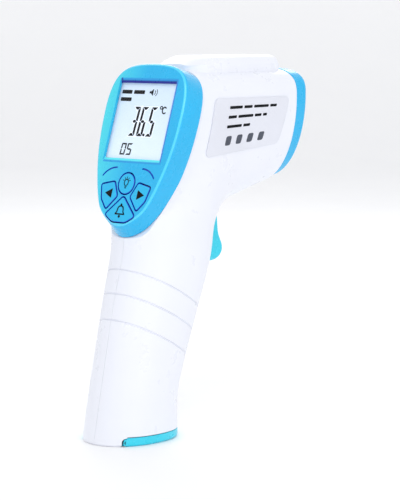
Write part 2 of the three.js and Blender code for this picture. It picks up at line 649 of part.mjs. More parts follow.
// ---------------------------------------------------------------- batteries, in the cells' leaning frame
function cell(noseUp) {
  const { r, length, nub, nubR } = CELL;
  const bottom = noseUp ? 0 : 0.9;
  const can = rod(V(0, 0, bottom), V(0, 0, bottom + length), r, r, 28);
  const tip = noseUp ? [bottom + length - 0.1, bottom + length + nub] : [bottom - nub, bottom + 0.1];
  return can.add(rod(V(0, 0, tip[0]), V(0, 0, tip[1]), nubR, nubR, 16));
}

// A strip bent down to touch the positive end of the front cell.
function positiveContact() {
  const strip = shapeOf([
    [2.4, 54.2], [5, 54.2], [6, 51.1], [9, 51.1], [10, 54.2], [12.6, 54.2],
    [12.6, 53.8], [10.3, 53.8], [9.3, 50.7], [5.7, 50.7], [4.7, 53.8], [2.4, 53.8],
  ]);
  return slabXZ(strip, -3, 3);
}

function negativeContact() {
  const plate = box(-CELL.pitch - 5, -CELL.pitch + 4, -4, 4, 53.8, 54.2);
  const spring = toSolid(springGeometry(2.5, 3.1, 2.2, 0.35, 3.8).translate(-CELL.pitch, 0, 50.9));
  return plate.add(spring);
}

// ---------------------------------------------------------------- battery door
function batteryDoor() {
  const { top, floor, pivotX: x, pivotZ: z, wall } = DOOR;
  const outer = toSolid(bodyGeometry(0));
  const tray = outer.intersect(box(x, 40, -30, 30, 0, top))
    .subtract(toSolid(bodyGeometry(-wall)).intersect(box(-30, 40, -30, 30, floor, 10)));
  const barrel = rodY(x, z, -30, 30, z, 20).intersect(outer);
  const latch = box(13.2, 14.2, -4, 4, floor - 0.2, 6.6).add(rodY(14.2, 5.9, -4, 4, 0.5, 10));
  const notch = (y0, y1) => box(x - 3, x + 1.7, y0, y1, -1, 8);
  return join(tray, barrel, latch)
    .subtract(join(notch(-11, -9.3), notch(9.3, 11)))
    .subtract(rodY(x, z, -11.5, 11.5, 0.95, 12));
}

// ---------------------------------------------------------------- label on the right side
function sideLabel() {
  const outline = roundedShape([[19.8, 108.5], [63.9, 112], [68.4, 130.9], [25.3, 131]], 2.6);
  const sheet = toSolid(bodyGeometry(0.5)).subtract(toSolid(bodyGeometry(0.22)));
  return slabXZ(outline, -30, -8).intersect(sheet);
}

function housingScrew(x, z) {
  const head = rodY(x, z, SCREW_WEB + GAP, SCREW_WEB + 2.3, 2.6, 16);
  const y = SCREW_WEB + 1.2;
  const slot = (halfX, halfZ) => box(x - halfX, x + halfX, y, y + 3, z - halfZ, z + halfZ);
  const point = rod(V(x, -7.5, z), V(x, -10.5, z), 1.2, 0.4, 12);
  const shank = rodY(x, z, -7.6, SCREW_WEB + GAP + 0.1, 1.2, 12);
  return join(head.subtract(join(slot(1.7, 0.35), slot(0.35, 1.7))), shank, point);
}

// ---------------------------------------------------------------- assembly
const material = (color, roughness, metalness = 0, extra = {}) =>
  new THREE.MeshStandardMaterial({ color, roughness, metalness, ...extra });

const LOOK = {
  white: material(0xf2f4f9, 0.35),
  blue: material(0x2fb4ee, 0.3),
  key: material(0x35b6ec, 0.35),
  clear: material(0xeaf4fb, 0.05, 0, { transparent: true, opacity: 0.35 }),
  lcd: material(0xdfe8f4, 0.25),
  diffuser: material(0xf7f7f2, 0.5),
  board: material(0x1f6b3a, 0.45),
  silicone: material(0xb9bdc4, 0.7),
  black: material(0x17181a, 0.45),
  pink: material(0xd9a3a0, 0.7),
  steel: material(0xc3c6ca, 0.28, 1),
  brass: material(0xc9a85c, 0.3, 1),
  nickel: material(0xd2d0c8, 0.22, 1),
  filter: material(0x4a4f5c, 0.12, 0.6),
  red: material(0xc4211d, 0.45),
  grey: material(0xdcdfe8, 0.55),
  wrap: material(0x2e3a48, 0.35),
};

function add(group, name, solid, look) {
  const mesh = new THREE.Mesh(toGeometry(solid), look);
  mesh.name = name;
  group.add(mesh);
  return mesh;
}

function addHousing(group) {
  const shell = housing();
  add(group, "right_shell", shell.intersect(box(-80, 120, -60, -SEAM, -10, 200)), LOOK.white);
  add(group, "left_shell", shell.intersect(box(-80, 120, SEAM, 60, -10, 200)), LOOK.white);
  add(group, "side_label", sideLabel(), LOOK.grey);
  SCREW_PLACES.forEach(([x, z], i) => add(group, `housing_screw_${i + 1}`, housingScrew(x, z), LOOK.steel));
}

function displayAssembly() {
  const group = new THREE.Group();
  group.applyMatrix4(displayMatrix);
  add(group, "display_bezel", displayBezel(), LOOK.blue);
  const { left, right, bottom, top } = GLASS;
  const { pane, cell, light, seat } = SCREEN_STACK;
  add(group, "lcd_window", box(left, right, bottom, top, ...pane), LOOK.clear);
  add(group, "lcd_panel", box(left, right, bottom, top, ...cell), LOOK.lcd);
  const [u0, u1] = [left + 0.9, right - 0.9];
  add(group, "backlight_panel", box(u0, u1, bottom + 1.9, top - 0.3, ...light), LOOK.diffuser);
  add(group, "lcd_frame", lcdFrame(), LOOK.diffuser);
  add(group, "zebra_strip", box(u0, u1, bottom + 0.1, bottom + 1.6, seat, light[1]), LOOK.pink);
  add(group, "main_board", mainBoard(), LOOK.board);
  add(group, "keypad_membrane", keypadMembrane(), LOOK.silicone);
  Object.keys(KEYS).forEach((name) => add(group, name, keycap(name), LOOK.key));
  const onBoard = BOARD.back - GAP;
  add(group, "controller_chip", slabXY(roundedRect(6.5, 6.5, 2), onBoard - 1.5, onBoard), LOOK.black);
  const buzzerAt = (z) => V(0, -29, z);
  const sound = rod(buzzerAt(-16), buzzerAt(-14.6), 1.2, 1.2, 10);
  add(group, "buzzer", rod(buzzerAt(-15.5), buzzerAt(onBoard), 6, 6, 24).subtract(sound), LOOK.black);
  add(group, "board_screw_left", boardScrew(-BOARD.screwU), LOOK.steel);
  add(group, "board_screw_right", boardScrew(BOARD.screwU), LOOK.steel);
  return group;
}

function addSensor(group) {
  add(group, "nose_ring", noseRing(), LOOK.blue);
  add(group, "nose_funnel", turnedX(FUNNEL, AIM_Z), LOOK.black);
  add(group, "sensor_heatsink", turnedX(HEATSINK, AIM_Z), LOOK.brass);
  add(group, "thermopile_can", thermopileCan(), LOOK.nickel);
  add(group, "sensor_window", rod(V(57.2, 0, AIM_Z), V(57.6, 0, AIM_Z), 2.3, 2.3, 20), LOOK.filter);
  add(group, "sensor_board", sensorBoard(), LOOK.board);
  const ribbon = shapeOf([[-0.35, -2.5], [0.35, -2.5], [0.35, 2.5], [-0.35, 2.5]]);
  const run = [[43.6, 0, AIM_Z], [38, 0, 123.5], [28, 0, 127], [18.6, 0, 128.6]];
  add(group, "sensor_cable", cable(run, ribbon, 14), LOOK.silicone);
}

function addTrigger(group) {
  const { x, z } = TRIGGER_PIVOT;
  add(group, "trigger", trigger(), LOOK.blue);
  add(group, "trigger_pin", rodY(x, z, -TRIGGER_PIN, TRIGGER_PIN, 1.25, 14), LOOK.steel);
  const spring = springGeometry(5, 13.6, 2.6, 0.4).rotateY(Math.PI / 2).translate(23.9, 0, 72.6);
  add(group, "trigger_spring", toSolid(spring), LOOK.steel);
  const at = (along) => V(along, 0, SWITCH_Z);
  const block = box(23.2, 26.7, -3, 3, SWITCH_Z - 3, SWITCH_Z + 3);
  add(group, "trigger_switch", block.subtract(rod(at(24.3), at(28), 2.1, 2.1, 18)), LOOK.black);
  add(group, "switch_plunger", rod(at(25), at(28.2), 1.75, 1.75, 18), LOOK.silicone);
  add(group, "trigger_board", box(21.6, 22.9, -8, 8, 77.3, 90), LOOK.board);
  const twin = shapeOf([[-0.6, -1.2], [0.6, -1.2], [0.6, 1.2], [-0.6, 1.2]]);
  const run = [[20.3, 0, 87], [18.6, 0, 92], [15.3, 0, 99], [10.8, 0, 104.6]];
  add(group, "trigger_lead", cable(run, twin, 12), LOOK.silicone);
}

function batteryAssembly() {
  const group = new THREE.Group();
  group.position.set(CELL_STACK.foot[0], 0, CELL_STACK.foot[1]);
  group.rotation.y = CELL_STACK.lean;
  add(group, "battery_front", cell(true), LOOK.wrap).position.x = CELL.pitch;
  add(group, "battery_rear", cell(false), LOOK.wrap).position.x = -CELL.pitch;
  add(group, "positive_contact", positiveContact(), LOOK.nickel);
  add(group, "negative_contact", negativeContact(), LOOK.nickel);
  add(group, "contact_carrier", slabXY(roundedRect(14.2, 9, 6), 54.5, 56.3), LOOK.white);
  const front = springGeometry(2, 2.4, 3, 0.35, 2.4).translate(CELL.pitch, 0, -3);
  const rear = springGeometry(3.5, 5.7, 3, 0.35, 2.2).translate(-CELL.pitch, 0, -6.7);
  add(group, "bridge_spring_front", toSolid(front), LOOK.steel);
  add(group, "bridge_spring_rear", toSolid(rear), LOOK.steel);
  return group;
}

function addDoor(group) {
  add(group, "battery_door", batteryDoor(), LOOK.blue);
  add(group, "door_hinge_pin", rodY(DOOR.pivotX, DOOR.pivotZ, -10.7, 10.7, 0.8, 12), LOOK.steel);
  add(group, "bridge_plate", box(-11.5, 9, -3, 3, 2.3, 2.7), LOOK.nickel);
}

function addBatteryLeads(group) {
  const lead = (side) => [[12, 8 * side, 64.2], [11, 9 * side, 75], [9, 9 * side, 84], [7.2, 9 * side, 90]];
  add(group, "battery_lead_red", cable(lead(-1), roundSection(0.6), 14), LOOK.red);
  add(group, "battery_lead_black", cable(lead(1), roundSection(0.6), 14), LOOK.black);
}

const thermometer = new THREE.Group();
addHousing(thermometer);
thermometer.add(displayAssembly());
addSensor(thermometer);
addTrigger(thermometer);
thermometer.add(batteryAssembly());
addDoor(thermometer);
addBatteryLeads(thermometer);

export default thermometer;
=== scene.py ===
"""Looks for a pistol-shaped infrared thermometer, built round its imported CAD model.

Shapes are worked out in millimetres in the row frame (+X aims, +Y is the holder's left, +Z is up) and
scaled to metres when a mesh is made. The display's own frame has u to the right, v up the face and
w out of it.
"""

import math

import bmesh
import bpy
import numpy as np
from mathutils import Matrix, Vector


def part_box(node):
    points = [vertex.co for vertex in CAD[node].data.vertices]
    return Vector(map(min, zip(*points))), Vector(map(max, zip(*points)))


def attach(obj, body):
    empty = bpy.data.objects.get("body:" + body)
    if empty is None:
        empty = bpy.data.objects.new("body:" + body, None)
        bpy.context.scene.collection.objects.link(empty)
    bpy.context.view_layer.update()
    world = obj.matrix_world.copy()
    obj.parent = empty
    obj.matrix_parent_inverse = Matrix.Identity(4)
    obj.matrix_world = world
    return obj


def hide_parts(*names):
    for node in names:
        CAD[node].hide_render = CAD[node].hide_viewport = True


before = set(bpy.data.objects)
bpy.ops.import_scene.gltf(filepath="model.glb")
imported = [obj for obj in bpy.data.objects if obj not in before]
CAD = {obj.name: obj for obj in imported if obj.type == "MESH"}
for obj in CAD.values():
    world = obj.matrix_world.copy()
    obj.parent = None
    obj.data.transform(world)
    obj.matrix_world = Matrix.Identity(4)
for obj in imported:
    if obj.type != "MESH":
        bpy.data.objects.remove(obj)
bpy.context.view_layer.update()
MM = 0.001

# ------------------------------------------------------------------ dimensions of the CAD model, mm
WALL = 2.2
GAP = 0.3
SEAM = 0.1
HALF_WIDTH = 20
NOSE_X = 80
RING_DEPTH = 6.7
TILT = math.radians(18)
FACE = np.array([4.4, 0, 122.65])
BEZEL_DEPTH = 10
BEZEL_ROUND = 1.2
TIP_RISE, TIP_DEPTH, TIP_FROM, TIP_TO = 3.4, 5, 33, 45  # how the bezel's lower tip draws up to its face
PLATE = 2
REAR_DEPTH = 7
BEZEL_SEAT = ((-18, 10.3), (-26, 9.5), (-34, 8.5), (-41, 7.3), (-44, 6), (-46, 4.4))
OPENING = (-15.5, 14.1, -15.1, 15.1)  # left, right, bottom and top in the display's frame
GLASS = (-16.3, 14.9, -16.6, 15.9)
AIM_Z = 121
WIDEST_Z, CROWN_Z, CHIN_Z = 131.5, 142, 97.7  # of the nose's outline
FOOT_ROUND = 1.3
# Edges of the grip: place at the foot, lean, and bends as (height, change of lean, softness).
GRIP_FRONT = (18.1, -0.06, ((18, 0.46, 3), (68, -0.33, 4)))
GRIP_BACK = (-21.7, 0.205, ((52, 0.085, 4), (73, -0.29, 2)))
GROOVES = ((-7.2, 66.3), (-9.5, 57.1), (-12.8, 47.7))
GROOVE_SLOPE = 0.53
DOOR_TOP = 3.4
HINGE = (-15.2, 1.5)
TRIGGER_PIVOT = (39, 88)
TRIGGER_HALF = 5.5
SCREWS = ((66, 136), (30, 136.3), (52, 99), (3, 71.5))

MIN_RADIUS = 0.01  # of a turned piece, so that its loops stay open at the axis
SMOOTH_ANGLE = 32  # degrees; an edge sharper than this stays crisp
SLOPE_STEP = 0.02  # for the slope of the housing's surface, and how near to it a corner counts as on it


# ------------------------------------------------------------------ mesh tools
def make_object(name, points, faces, smooth=True):
    mesh = bpy.data.meshes.new(name)
    mesh.from_pydata((np.asarray(points) * MM).tolist(), [], faces)
    mesh.validate()
    mesh.polygons.foreach_set("use_smooth", [smooth] * len(mesh.polygons))
    obj = bpy.data.objects.new(name, mesh)
    bpy.context.scene.collection.objects.link(obj)
    return obj


def outward(obj):
    """Turns every face of a closed mesh outwards."""
    bm = bmesh.new()
    bm.from_mesh(obj.data)
    bmesh.ops.recalc_face_normals(bm, faces=bm.faces)
    if bm.calc_volume(signed=True) < 0:
        bmesh.ops.reverse_faces(bm, faces=bm.faces)
    bm.to_mesh(obj.data)
    bm.free()
    return obj


def loft(name, rows, caps=True, ring=False):
    """A skin through closed loops of equal length. With ring, the last loop joins the first."""
    rows = np.asarray(rows, dtype=float)
    count, around = rows.shape[:2]
    index = np.arange(count * around).reshape(count, around)
    upper = np.roll(index, -1, axis=0) if ring else index[1:]
    lower = index if ring else index[:-1]
    faces = [
        (a, b, c, d)
        for low, high in zip(lower, upper)
        for a, b, c, d in zip(low, np.roll(low, -1), np.roll(high, -1), high)
    ]
    faces = [tuple(int(i) for i in f) for f in faces]
    if caps and not ring:
        faces += [tuple(int(i) for i in index[0][::-1]), tuple(int(i) for i in index[-1])]
    return outward(make_object(name, rows.reshape(-1, 3), faces))


def full_turn(count):
    return np.linspace(0, 2 * math.pi, count, endpoint=False)


def turned(profile, place, segments):
    """Loops of a turned piece; profile is (radius, height) pairs and place(a, b, h) sets each loop."""
    angle = full_turn(segments)
    loops = []
    for radius, height in profile:
        r = max(radius, MIN_RADIUS)
        loops.append(place(r * np.cos(angle), r * np.sin(angle), np.full(segments, float(height))))
    return loops


def lathe(name, profile, segments=96):
    """Turned about the line of aim; profile is a list of (radius, x), closed if it ends where it starts."""
    rows = turned(profile, lambda a, b, x: np.stack([x, a, AIM_Z + b], -1), segments)
    closed = np.linalg.norm(np.subtract(profile[0], profile[-1])) < 1e-6
    return loft(name, rows[:-1] if closed else rows, caps=not closed, ring=closed)


def cylinder(name, start, end, r, segments=48):
    start, end = np.array(start, float), np.array(end, float)
    along = Vector(end - start)
    turn = np.array(along.to_track_quat("Z", "Y").to_matrix())
    angle = full_turn(segments)
    circle = np.stack([r * np.cos(angle), r * np.sin(angle), np.zeros(segments)], -1) @ turn.T
    return loft(name, [start + circle, end + circle])


def block(name, low, high):
    (x0, y0, z0), (x1, y1, z1) = low, high
    corners = [(x, y, z) for z in (z0, z1) for x, y in ((x0, y0), (x1, y0), (x1, y1), (x0, y1))]
    faces = [(0, 3, 2, 1), (4, 5, 6, 7), (0, 1, 5, 4), (1, 2, 6, 5), (2, 3, 7, 6), (3, 0, 4, 7)]
    return outward(make_object(name, corners, faces, smooth=False))


def prism(name, outline, place, low, high):
    """An outline given thickness; place(a, b, t) turns outline points and a depth into 3-D points."""
    outline = np.asarray(outline, float)
    rows = [place(outline[:, 0], outline[:, 1], t) for t in (low, high)]
    return loft(name, rows)


def place_y(a, b, t):
    return np.stack([a, np.full_like(a, t), b], -1)


def place_x(a, b, t):
    return np.stack([np.full_like(a, t), a, b], -1)


def place_face(u, v, w):
    """From the display's frame to the row frame."""
    u, v, w = np.broadcast_arrays(np.asarray(u, float), np.asarray(v, float), np.asarray(w, float))
    c, s = math.cos(TILT), math.sin(TILT)
    return np.stack([FACE[0] + s * v - c * w, -u, FACE[2] + c * v + s * w], -1)


def tidy(obj, angle=SMOOTH_ANGLE):
    """Smooth shading with sharp edges, and corner normals that follow the large faces."""
    mesh = obj.data
    mesh.polygons.foreach_set("use_smooth", [True] * len(mesh.polygons))
    mesh.set_sharp_from_angle(angle=math.radians(angle))
    if "weighted" not in obj.modifiers:
        weighted = obj.modifiers.new("weighted", "WEIGHTED_NORMAL")
        weighted.keep_sharp = True
        weighted.weight = 70
    return obj


def true_normals(obj):
    """Gives corners on the housing's surface that surface's own normals, so that cuts leave no marks."""
    mesh = obj.data
    mesh.polygons.foreach_set("use_smooth", [True] * len(mesh.polygons))
    mesh.set_sharp_from_angle(angle=math.radians(SMOOTH_ANGLE))
    corners = len(mesh.loops)
    normals, vertex = np.empty(corners * 3), np.empty(corners, int)
    mesh.corner_normals.foreach_get("vector", normals)
    mesh.loops.foreach_get("vertex_index", vertex)
    normals = normals.reshape(-1, 3)
    points, flat = np.empty(len(mesh.vertices) * 3), np.empty(len(mesh.polygons) * 3)
    mesh.vertices.foreach_get("co", points)
    mesh.polygons.foreach_get("normal", flat)
    points = points.reshape(-1, 3) / MM
    flat = np.repeat(flat.reshape(-1, 3), [len(p.vertices) for p in mesh.polygons], axis=0)
    steps = np.eye(3) * SLOPE_STEP
    slope = np.stack([body_distance(points + step) - body_distance(points - step) for step in steps], -1)
    slope /= np.maximum(np.linalg.norm(slope, axis=1, keepdims=True), 1e-9)
    near = (np.abs(body_distance(points)) < SLOPE_STEP)[vertex]
    agree = np.sum(slope[vertex] * flat, axis=1) > 0.8
    sliver = np.linalg.norm(flat, axis=1) < 0.5
    use = near & (agree | sliver)
    normals[use] = slope[vertex][use]
    mesh.normals_split_custom_set(normals.tolist())
    return obj


def apply(obj):
    """Replaces an object's mesh by what its modifiers make of it."""
    bpy.context.view_layer.update()
    depsgraph = bpy.context.evaluated_depsgraph_get()
    mesh = bpy.data.meshes.new_from_object(obj.evaluated_get(depsgraph), depsgraph=depsgraph)
    obj.modifiers.clear()
    obj.data = mesh
    return obj


def discard(*objs):
    for obj in objs:
        bpy.data.objects.remove(obj, do_unlink=True)


def combine(obj, *others, how="DIFFERENCE"):
    """Cuts the others from obj, or joins or intersects them, and deletes them."""
    for other in others:
        modifier = obj.modifiers.new("cut", "BOOLEAN")
        modifier.operation = how
        modifier.solver = "MANIFOLD"
        modifier.material_mode = "TRANSFER"
        modifier.object = other
        apply(obj)
    discard(*others)
    return obj


def copy_of(obj, name):
    twin = obj.copy()
    twin.data = obj.data.copy()
    twin.name = name
    bpy.context.scene.collection.objects.link(twin)
    return twin


# ------------------------------------------------------------------ outlines
def arc_length(points, count, closed=True):
    """The same outline with its points evenly spaced."""
    points = np.asarray(points, float)
    if closed:
        points = np.vstack([points, points[:1]])
    steps = np.linalg.norm(np.diff(points, axis=0), axis=1)
    at = np.concatenate([[0], np.cumsum(steps)])
    wanted = np.linspace(0, at[-1], count, endpoint=not closed)
    return np.stack([np.interp(wanted, at, points[:, k]) for k in range(points.shape[1])], -1)


def anticlockwise(points):
    """The outline with its points running anticlockwise."""
    points = np.asarray(points, float)
    area = np.sum(points[:, 0] * np.roll(points[:, 1], -1) - np.roll(points[:, 0], -1) * points[:, 1])
    return points if area > 0 else points[::-1]


def bezier(p0, p1, p2, p3, count=60):
    t = np.linspace(0, 1, count, endpoint=False)[:, None]
    p0, p1, p2, p3 = (np.array(p, float) for p in (p0, p1, p2, p3))
    return (1 - t) ** 3 * p0 + 3 * (1 - t) ** 2 * t * p1 + 3 * (1 - t) * t * t * p2 + t ** 3 * p3


def grown(points, distance):
    """The outline moved outwards; its points run anticlockwise."""
    points = np.asarray(points, float)
    before = points - np.roll(points, 1, axis=0)
    after = np.roll(points, -1, axis=0) - points
    before /= np.linalg.norm(before, axis=1, keepdims=True)
    after /= np.linalg.norm(after, axis=1, keepdims=True)
    normal = np.stack([before[:, 1] + after[:, 1], -before[:, 0] - after[:, 0]], -1)
    normal /= np.linalg.norm(normal, axis=1, keepdims=True)
    mitre = 1 / np.maximum(0.5, normal[:, 0] * before[:, 1] - normal[:, 1] * before[:, 0])
    return points + normal * (distance * mitre)[:, None]


def rounded(corners, radius, steps):
    """A polygon with rounded corners."""
    corners = [np.array(c, float) for c in corners]
    points = []
    for i, here in enumerate(corners):
        before, after = corners[i - 1] - here, corners[(i + 1) % len(corners)] - here
        start = here + before / np.linalg.norm(before) * radius
        end = here + after / np.linalg.norm(after) * radius
        for t in np.linspace(0, 1, steps + 1):
            points.append((1 - t) ** 2 * start + 2 * t * (1 - t) * here + t * t * end)
    return anticlockwise(points)


def rectangle(u0, u1, v0, v1, r=0.1, steps=3):
    return rounded([(u0, v0), (u1, v0), (u1, v1), (u0, v1)], r, steps)


def disc(u, v, r, count=24):
    angle = full_turn(count)
    return np.stack([u + r * np.cos(angle), v + r * np.sin(angle)], -1)


def stroke(line, half):
    """Outline of a line drawn with a round pen."""
    tangent = np.gradient(line, axis=0)
    tangent /= np.linalg.norm(tangent, axis=1, keepdims=True)
    normal = np.stack([-tangent[:, 1], tangent[:, 0]], -1)
    turn = np.linspace(-math.pi / 2, math.pi / 2, 9)[1:-1, None]
    tip = line[-1] + half * (np.cos(turn) * tangent[-1] + np.sin(turn) * normal[-1])
    tail = line[0] - half * (np.cos(turn) * tangent[0] + np.sin(turn) * normal[0])
    return anticlockwise(np.vstack([line - normal * half, tip, (line + normal * half)[::-1], tail]))


def fillet(radius, steps=7):
    """Quarter round from an upright wall to a flat top, as (inset, drop) pairs."""
    angle = np.linspace(0, math.pi / 2, steps + 1)
    return [(radius * (1 - math.cos(a)), radius * (1 - math.sin(a))) for a in angle]


def bezel_outline(count=260):
    right = np.vstack([
        bezier((0, 22.9), (14.5, 22.9), (21.2, 20.5), (21.2, 4)),
        bezier((21.2, 4), (21.2, -8), (19.6, -17), (15.9, -27.5)),
        bezier((15.9, -27.5), (13, -35.5), (7.5, -45), (0, -45)),
    ])
    left = right[1:][::-1] * (-1, 1)
    whole = np.vstack([right, [(0, -45)], left])
    return arc_length(whole[::-1], count)


def nose_outline():
    angle = full_turn(2400)
    c, s = np.cos(angle), np.sin(angle)
    power = np.where(s > 0, 2 / 3, 1)
    reach = np.where(s > 0, CROWN_Z - WIDEST_Z, WIDEST_Z - CHIN_Z)
    y = np.sign(c) * HALF_WIDTH * np.abs(c) ** power
    z = WIDEST_Z + np.sign(s) * reach * np.abs(s) ** power
    return arc_length(np.stack([y, z], -1), 240)


# ------------------------------------------------------------------ the housing's surface
def smooth_ramp(x, softness):
    return softness * np.logaddexp(0, x / softness)


def smooth_step(x, low, high):
    t = np.clip((x - low) / (high - low), 0, 1)
    return t * t * (3 - 2 * t)


def radial(a, b, reach_a, reach_b, power):
    share = (np.abs(a / reach_a) ** power + np.abs(b / reach_b) ** power) ** (1 / power)
    return np.hypot(a, b) * (1 - 1 / np.maximum(share, 1e-6))


def edge_at(z, start, lean, bends):
    """Where a leaning edge of the grip lies at height z."""
    bent = sum(change * smooth_ramp(z - height, softness) for height, change, softness in bends)
    return start + lean * z + bent


def body_distance(p):
    """Roughly how far outside the housing's skin each point lies: a barrel and a grip, blended."""
    x, y, z = p[..., 0], p[..., 1], p[..., 2]
    depth = (x - FACE[0]) * math.cos(TILT) - (z - FACE[2]) * math.sin(TILT)
    behind = NOSE_X - x
    widest = WIDEST_Z - 0.16 * behind
    rise = z - widest
    above = rise > 0
    reach = np.where(above, CROWN_Z - widest, widest - CHIN_Z + 0.256 * behind)
    square, round_ = (radial(y, rise, HALF_WIDTH, reach, power) for power in (3.0, 2.0))
    section = np.where(above, square, round_)
    barrel = np.maximum(section, REAR_DEPTH - depth)

    front = edge_at(z, *GRIP_FRONT)
    rear_plane = FACE[0] + (REAR_DEPTH + (z - FACE[2]) * math.sin(TILT)) / math.cos(TILT)
    mix = smooth_step(z, 79, 93)
    back = edge_at(z, *GRIP_BACK) * (1 - mix) + rear_plane * mix
    width = 15.6 + 0.05 * smooth_ramp(z - 45, 5) - 0.28 * smooth_ramp(z - 86, 4)
    grip = radial(x - (front + back) / 2, y, (front - back) / 2, width, 2.2)
    grip = np.maximum(grip, z - 112)

    blend = 2 + 11 * smooth_step(x, 0, 30)
    near = np.maximum(blend - np.abs(barrel - grip), 0) / blend
    distance = np.minimum(barrel, grip) - near * near * blend / 4

    slant = math.hypot(1, GROOVE_SLOPE)
    for gx, gz in GROOVES:
        off = np.abs((z - gz) + GROOVE_SLOPE * (x - gx)) / slant
        distance = distance + 0.5 * (1 - smooth_step(off, 0.1, 0.4))
    low = np.clip(FOOT_ROUND - z, 0, FOOT_ROUND)
    return distance + FOOT_ROUND - np.sqrt(FOOT_ROUND ** 2 - low * low)


def spine(step):
    """Section planes from the nose to below the foot, as (centre, direction of the first ray)."""
    rows = [((x, 0, 118), 90) for x in np.arange(86, 58, -step * 1.6)]
    pivot = np.array([58, 0, 78])
    for angle in np.arange(90, 28, -step * 1.5):
        share = (90 - angle) / 62
        radians = math.radians(angle)
        rows.append((pivot + np.array([-math.cos(radians), 0, math.sin(radians)]) * (40 + 3 * share), angle))
    lean, top = 0.221, pivot + np.array([-math.cos(math.radians(28)), 0, math.sin(math.radians(28))]) * 43
    z = top[2] - step
    groove_at = [gz - GROOVE_SLOPE * (top[0] - gx - lean * (top[2] - gz)) / (1 + lean * GROOVE_SLOPE)
                 for gx, gz in GROOVES]
    while z > -2:
        centre = top - np.array([lean, 0, 1]) * (top[2] - z)
        rows.append((centre, 28 * float(smooth_step(z, 8, 36))))
        near_groove = min(abs(z - at) for at in groove_at) < 1.6
        near_foot = z < FOOT_ROUND + 0.4
        z -= min(step, 0.12) if near_groove or near_foot else step
    centres = np.array([np.array(c, float) for c, _ in rows])
    radians = np.radians([a for _, a in rows])
    return centres, np.stack([-np.cos(radians), np.zeros(len(rows)), np.sin(radians)], -1)


def surface_at(place, near, far, level, rounds=26):
    """How far along each ray, from near to far, place(share) reaches a level of the body's distance."""
    for _ in range(rounds):
        middle = (near + far) / 2
        inside = body_distance(place(middle)) < level
        near, far = np.where(inside, middle, near), np.where(inside, far, middle)
    return far


def body_rows(offset, step, around):
    centres, starts = spine(step)
    angle = full_turn(around)
    rays = starts[:, None] * np.cos(angle)[None, :, None] + np.sin(angle)[None, :, None] * np.array([0, 1, 0])
    origin = np.broadcast_to(centres[:, None], rays.shape)
    far = np.full(rays.shape[:2], 1.0)
    for _ in range(70):
        inside = body_distance(origin + rays * far[..., None]) < offset
        far = np.where(inside, far + 1, far)
    far = surface_at(lambda reach: origin + rays * reach[..., None], far - 1, far, offset, 24)
    return origin + rays * far[..., None]


def body_solid(name, offset, step=0.6, around=176):
    """The housing's surface as a closed solid, moved out by offset; it runs on below the foot."""
    return loft(name, body_rows(offset, step, around))


def behind_face(up, depth):
    """X and Z of a point up the display's face and a depth behind it."""
    c, s = math.cos(TILT), math.sin(TILT)
    return FACE[0] + s * up + c * depth, FACE[2] + c * up - s * depth


def top_block():
    """The raised block: level outlines that draw in towards the top, most of all at the rounded rear."""
    def corner(cx, cy, r, start):
        angle = np.radians(np.linspace(start, start + 90, 15))
        return np.stack([cx + r * np.cos(angle), cy + r * np.sin(angle)], -1)

    shoulder, top = 143.5, 147.3
    rows = []
    for share in (None, 0, *np.linspace(0.04, 1, 20)):
        q = share or 0
        z = WIDEST_Z if share is None else shoulder + (top - shoulder) * q
        x0, x1, y = 21 + 8 * q + 2 * q ** 6, 73 - 1.1 * q - 2.1 * q ** 6, 12.5 - 1.6 * q - 2.3 * q ** 6
        big, small = y - 2.5, 3.5 - (12.5 - y) / 2
        outline = np.vstack([corner(x1 - small, y - small, small, 0), corner(x0 + big, y - big, big, 90),
                             corner(x0 + big, big - y, big, 180), corner(x1 - small, small - y, small, 270)])
        rows.append(np.column_stack([outline, np.full(len(outline), z)]))
    centre = rows[-1].mean(axis=0)
    rows.append(centre + (rows[-1] - centre) * (0.93, 0.85, 1))
    return loft("top_block", rows)


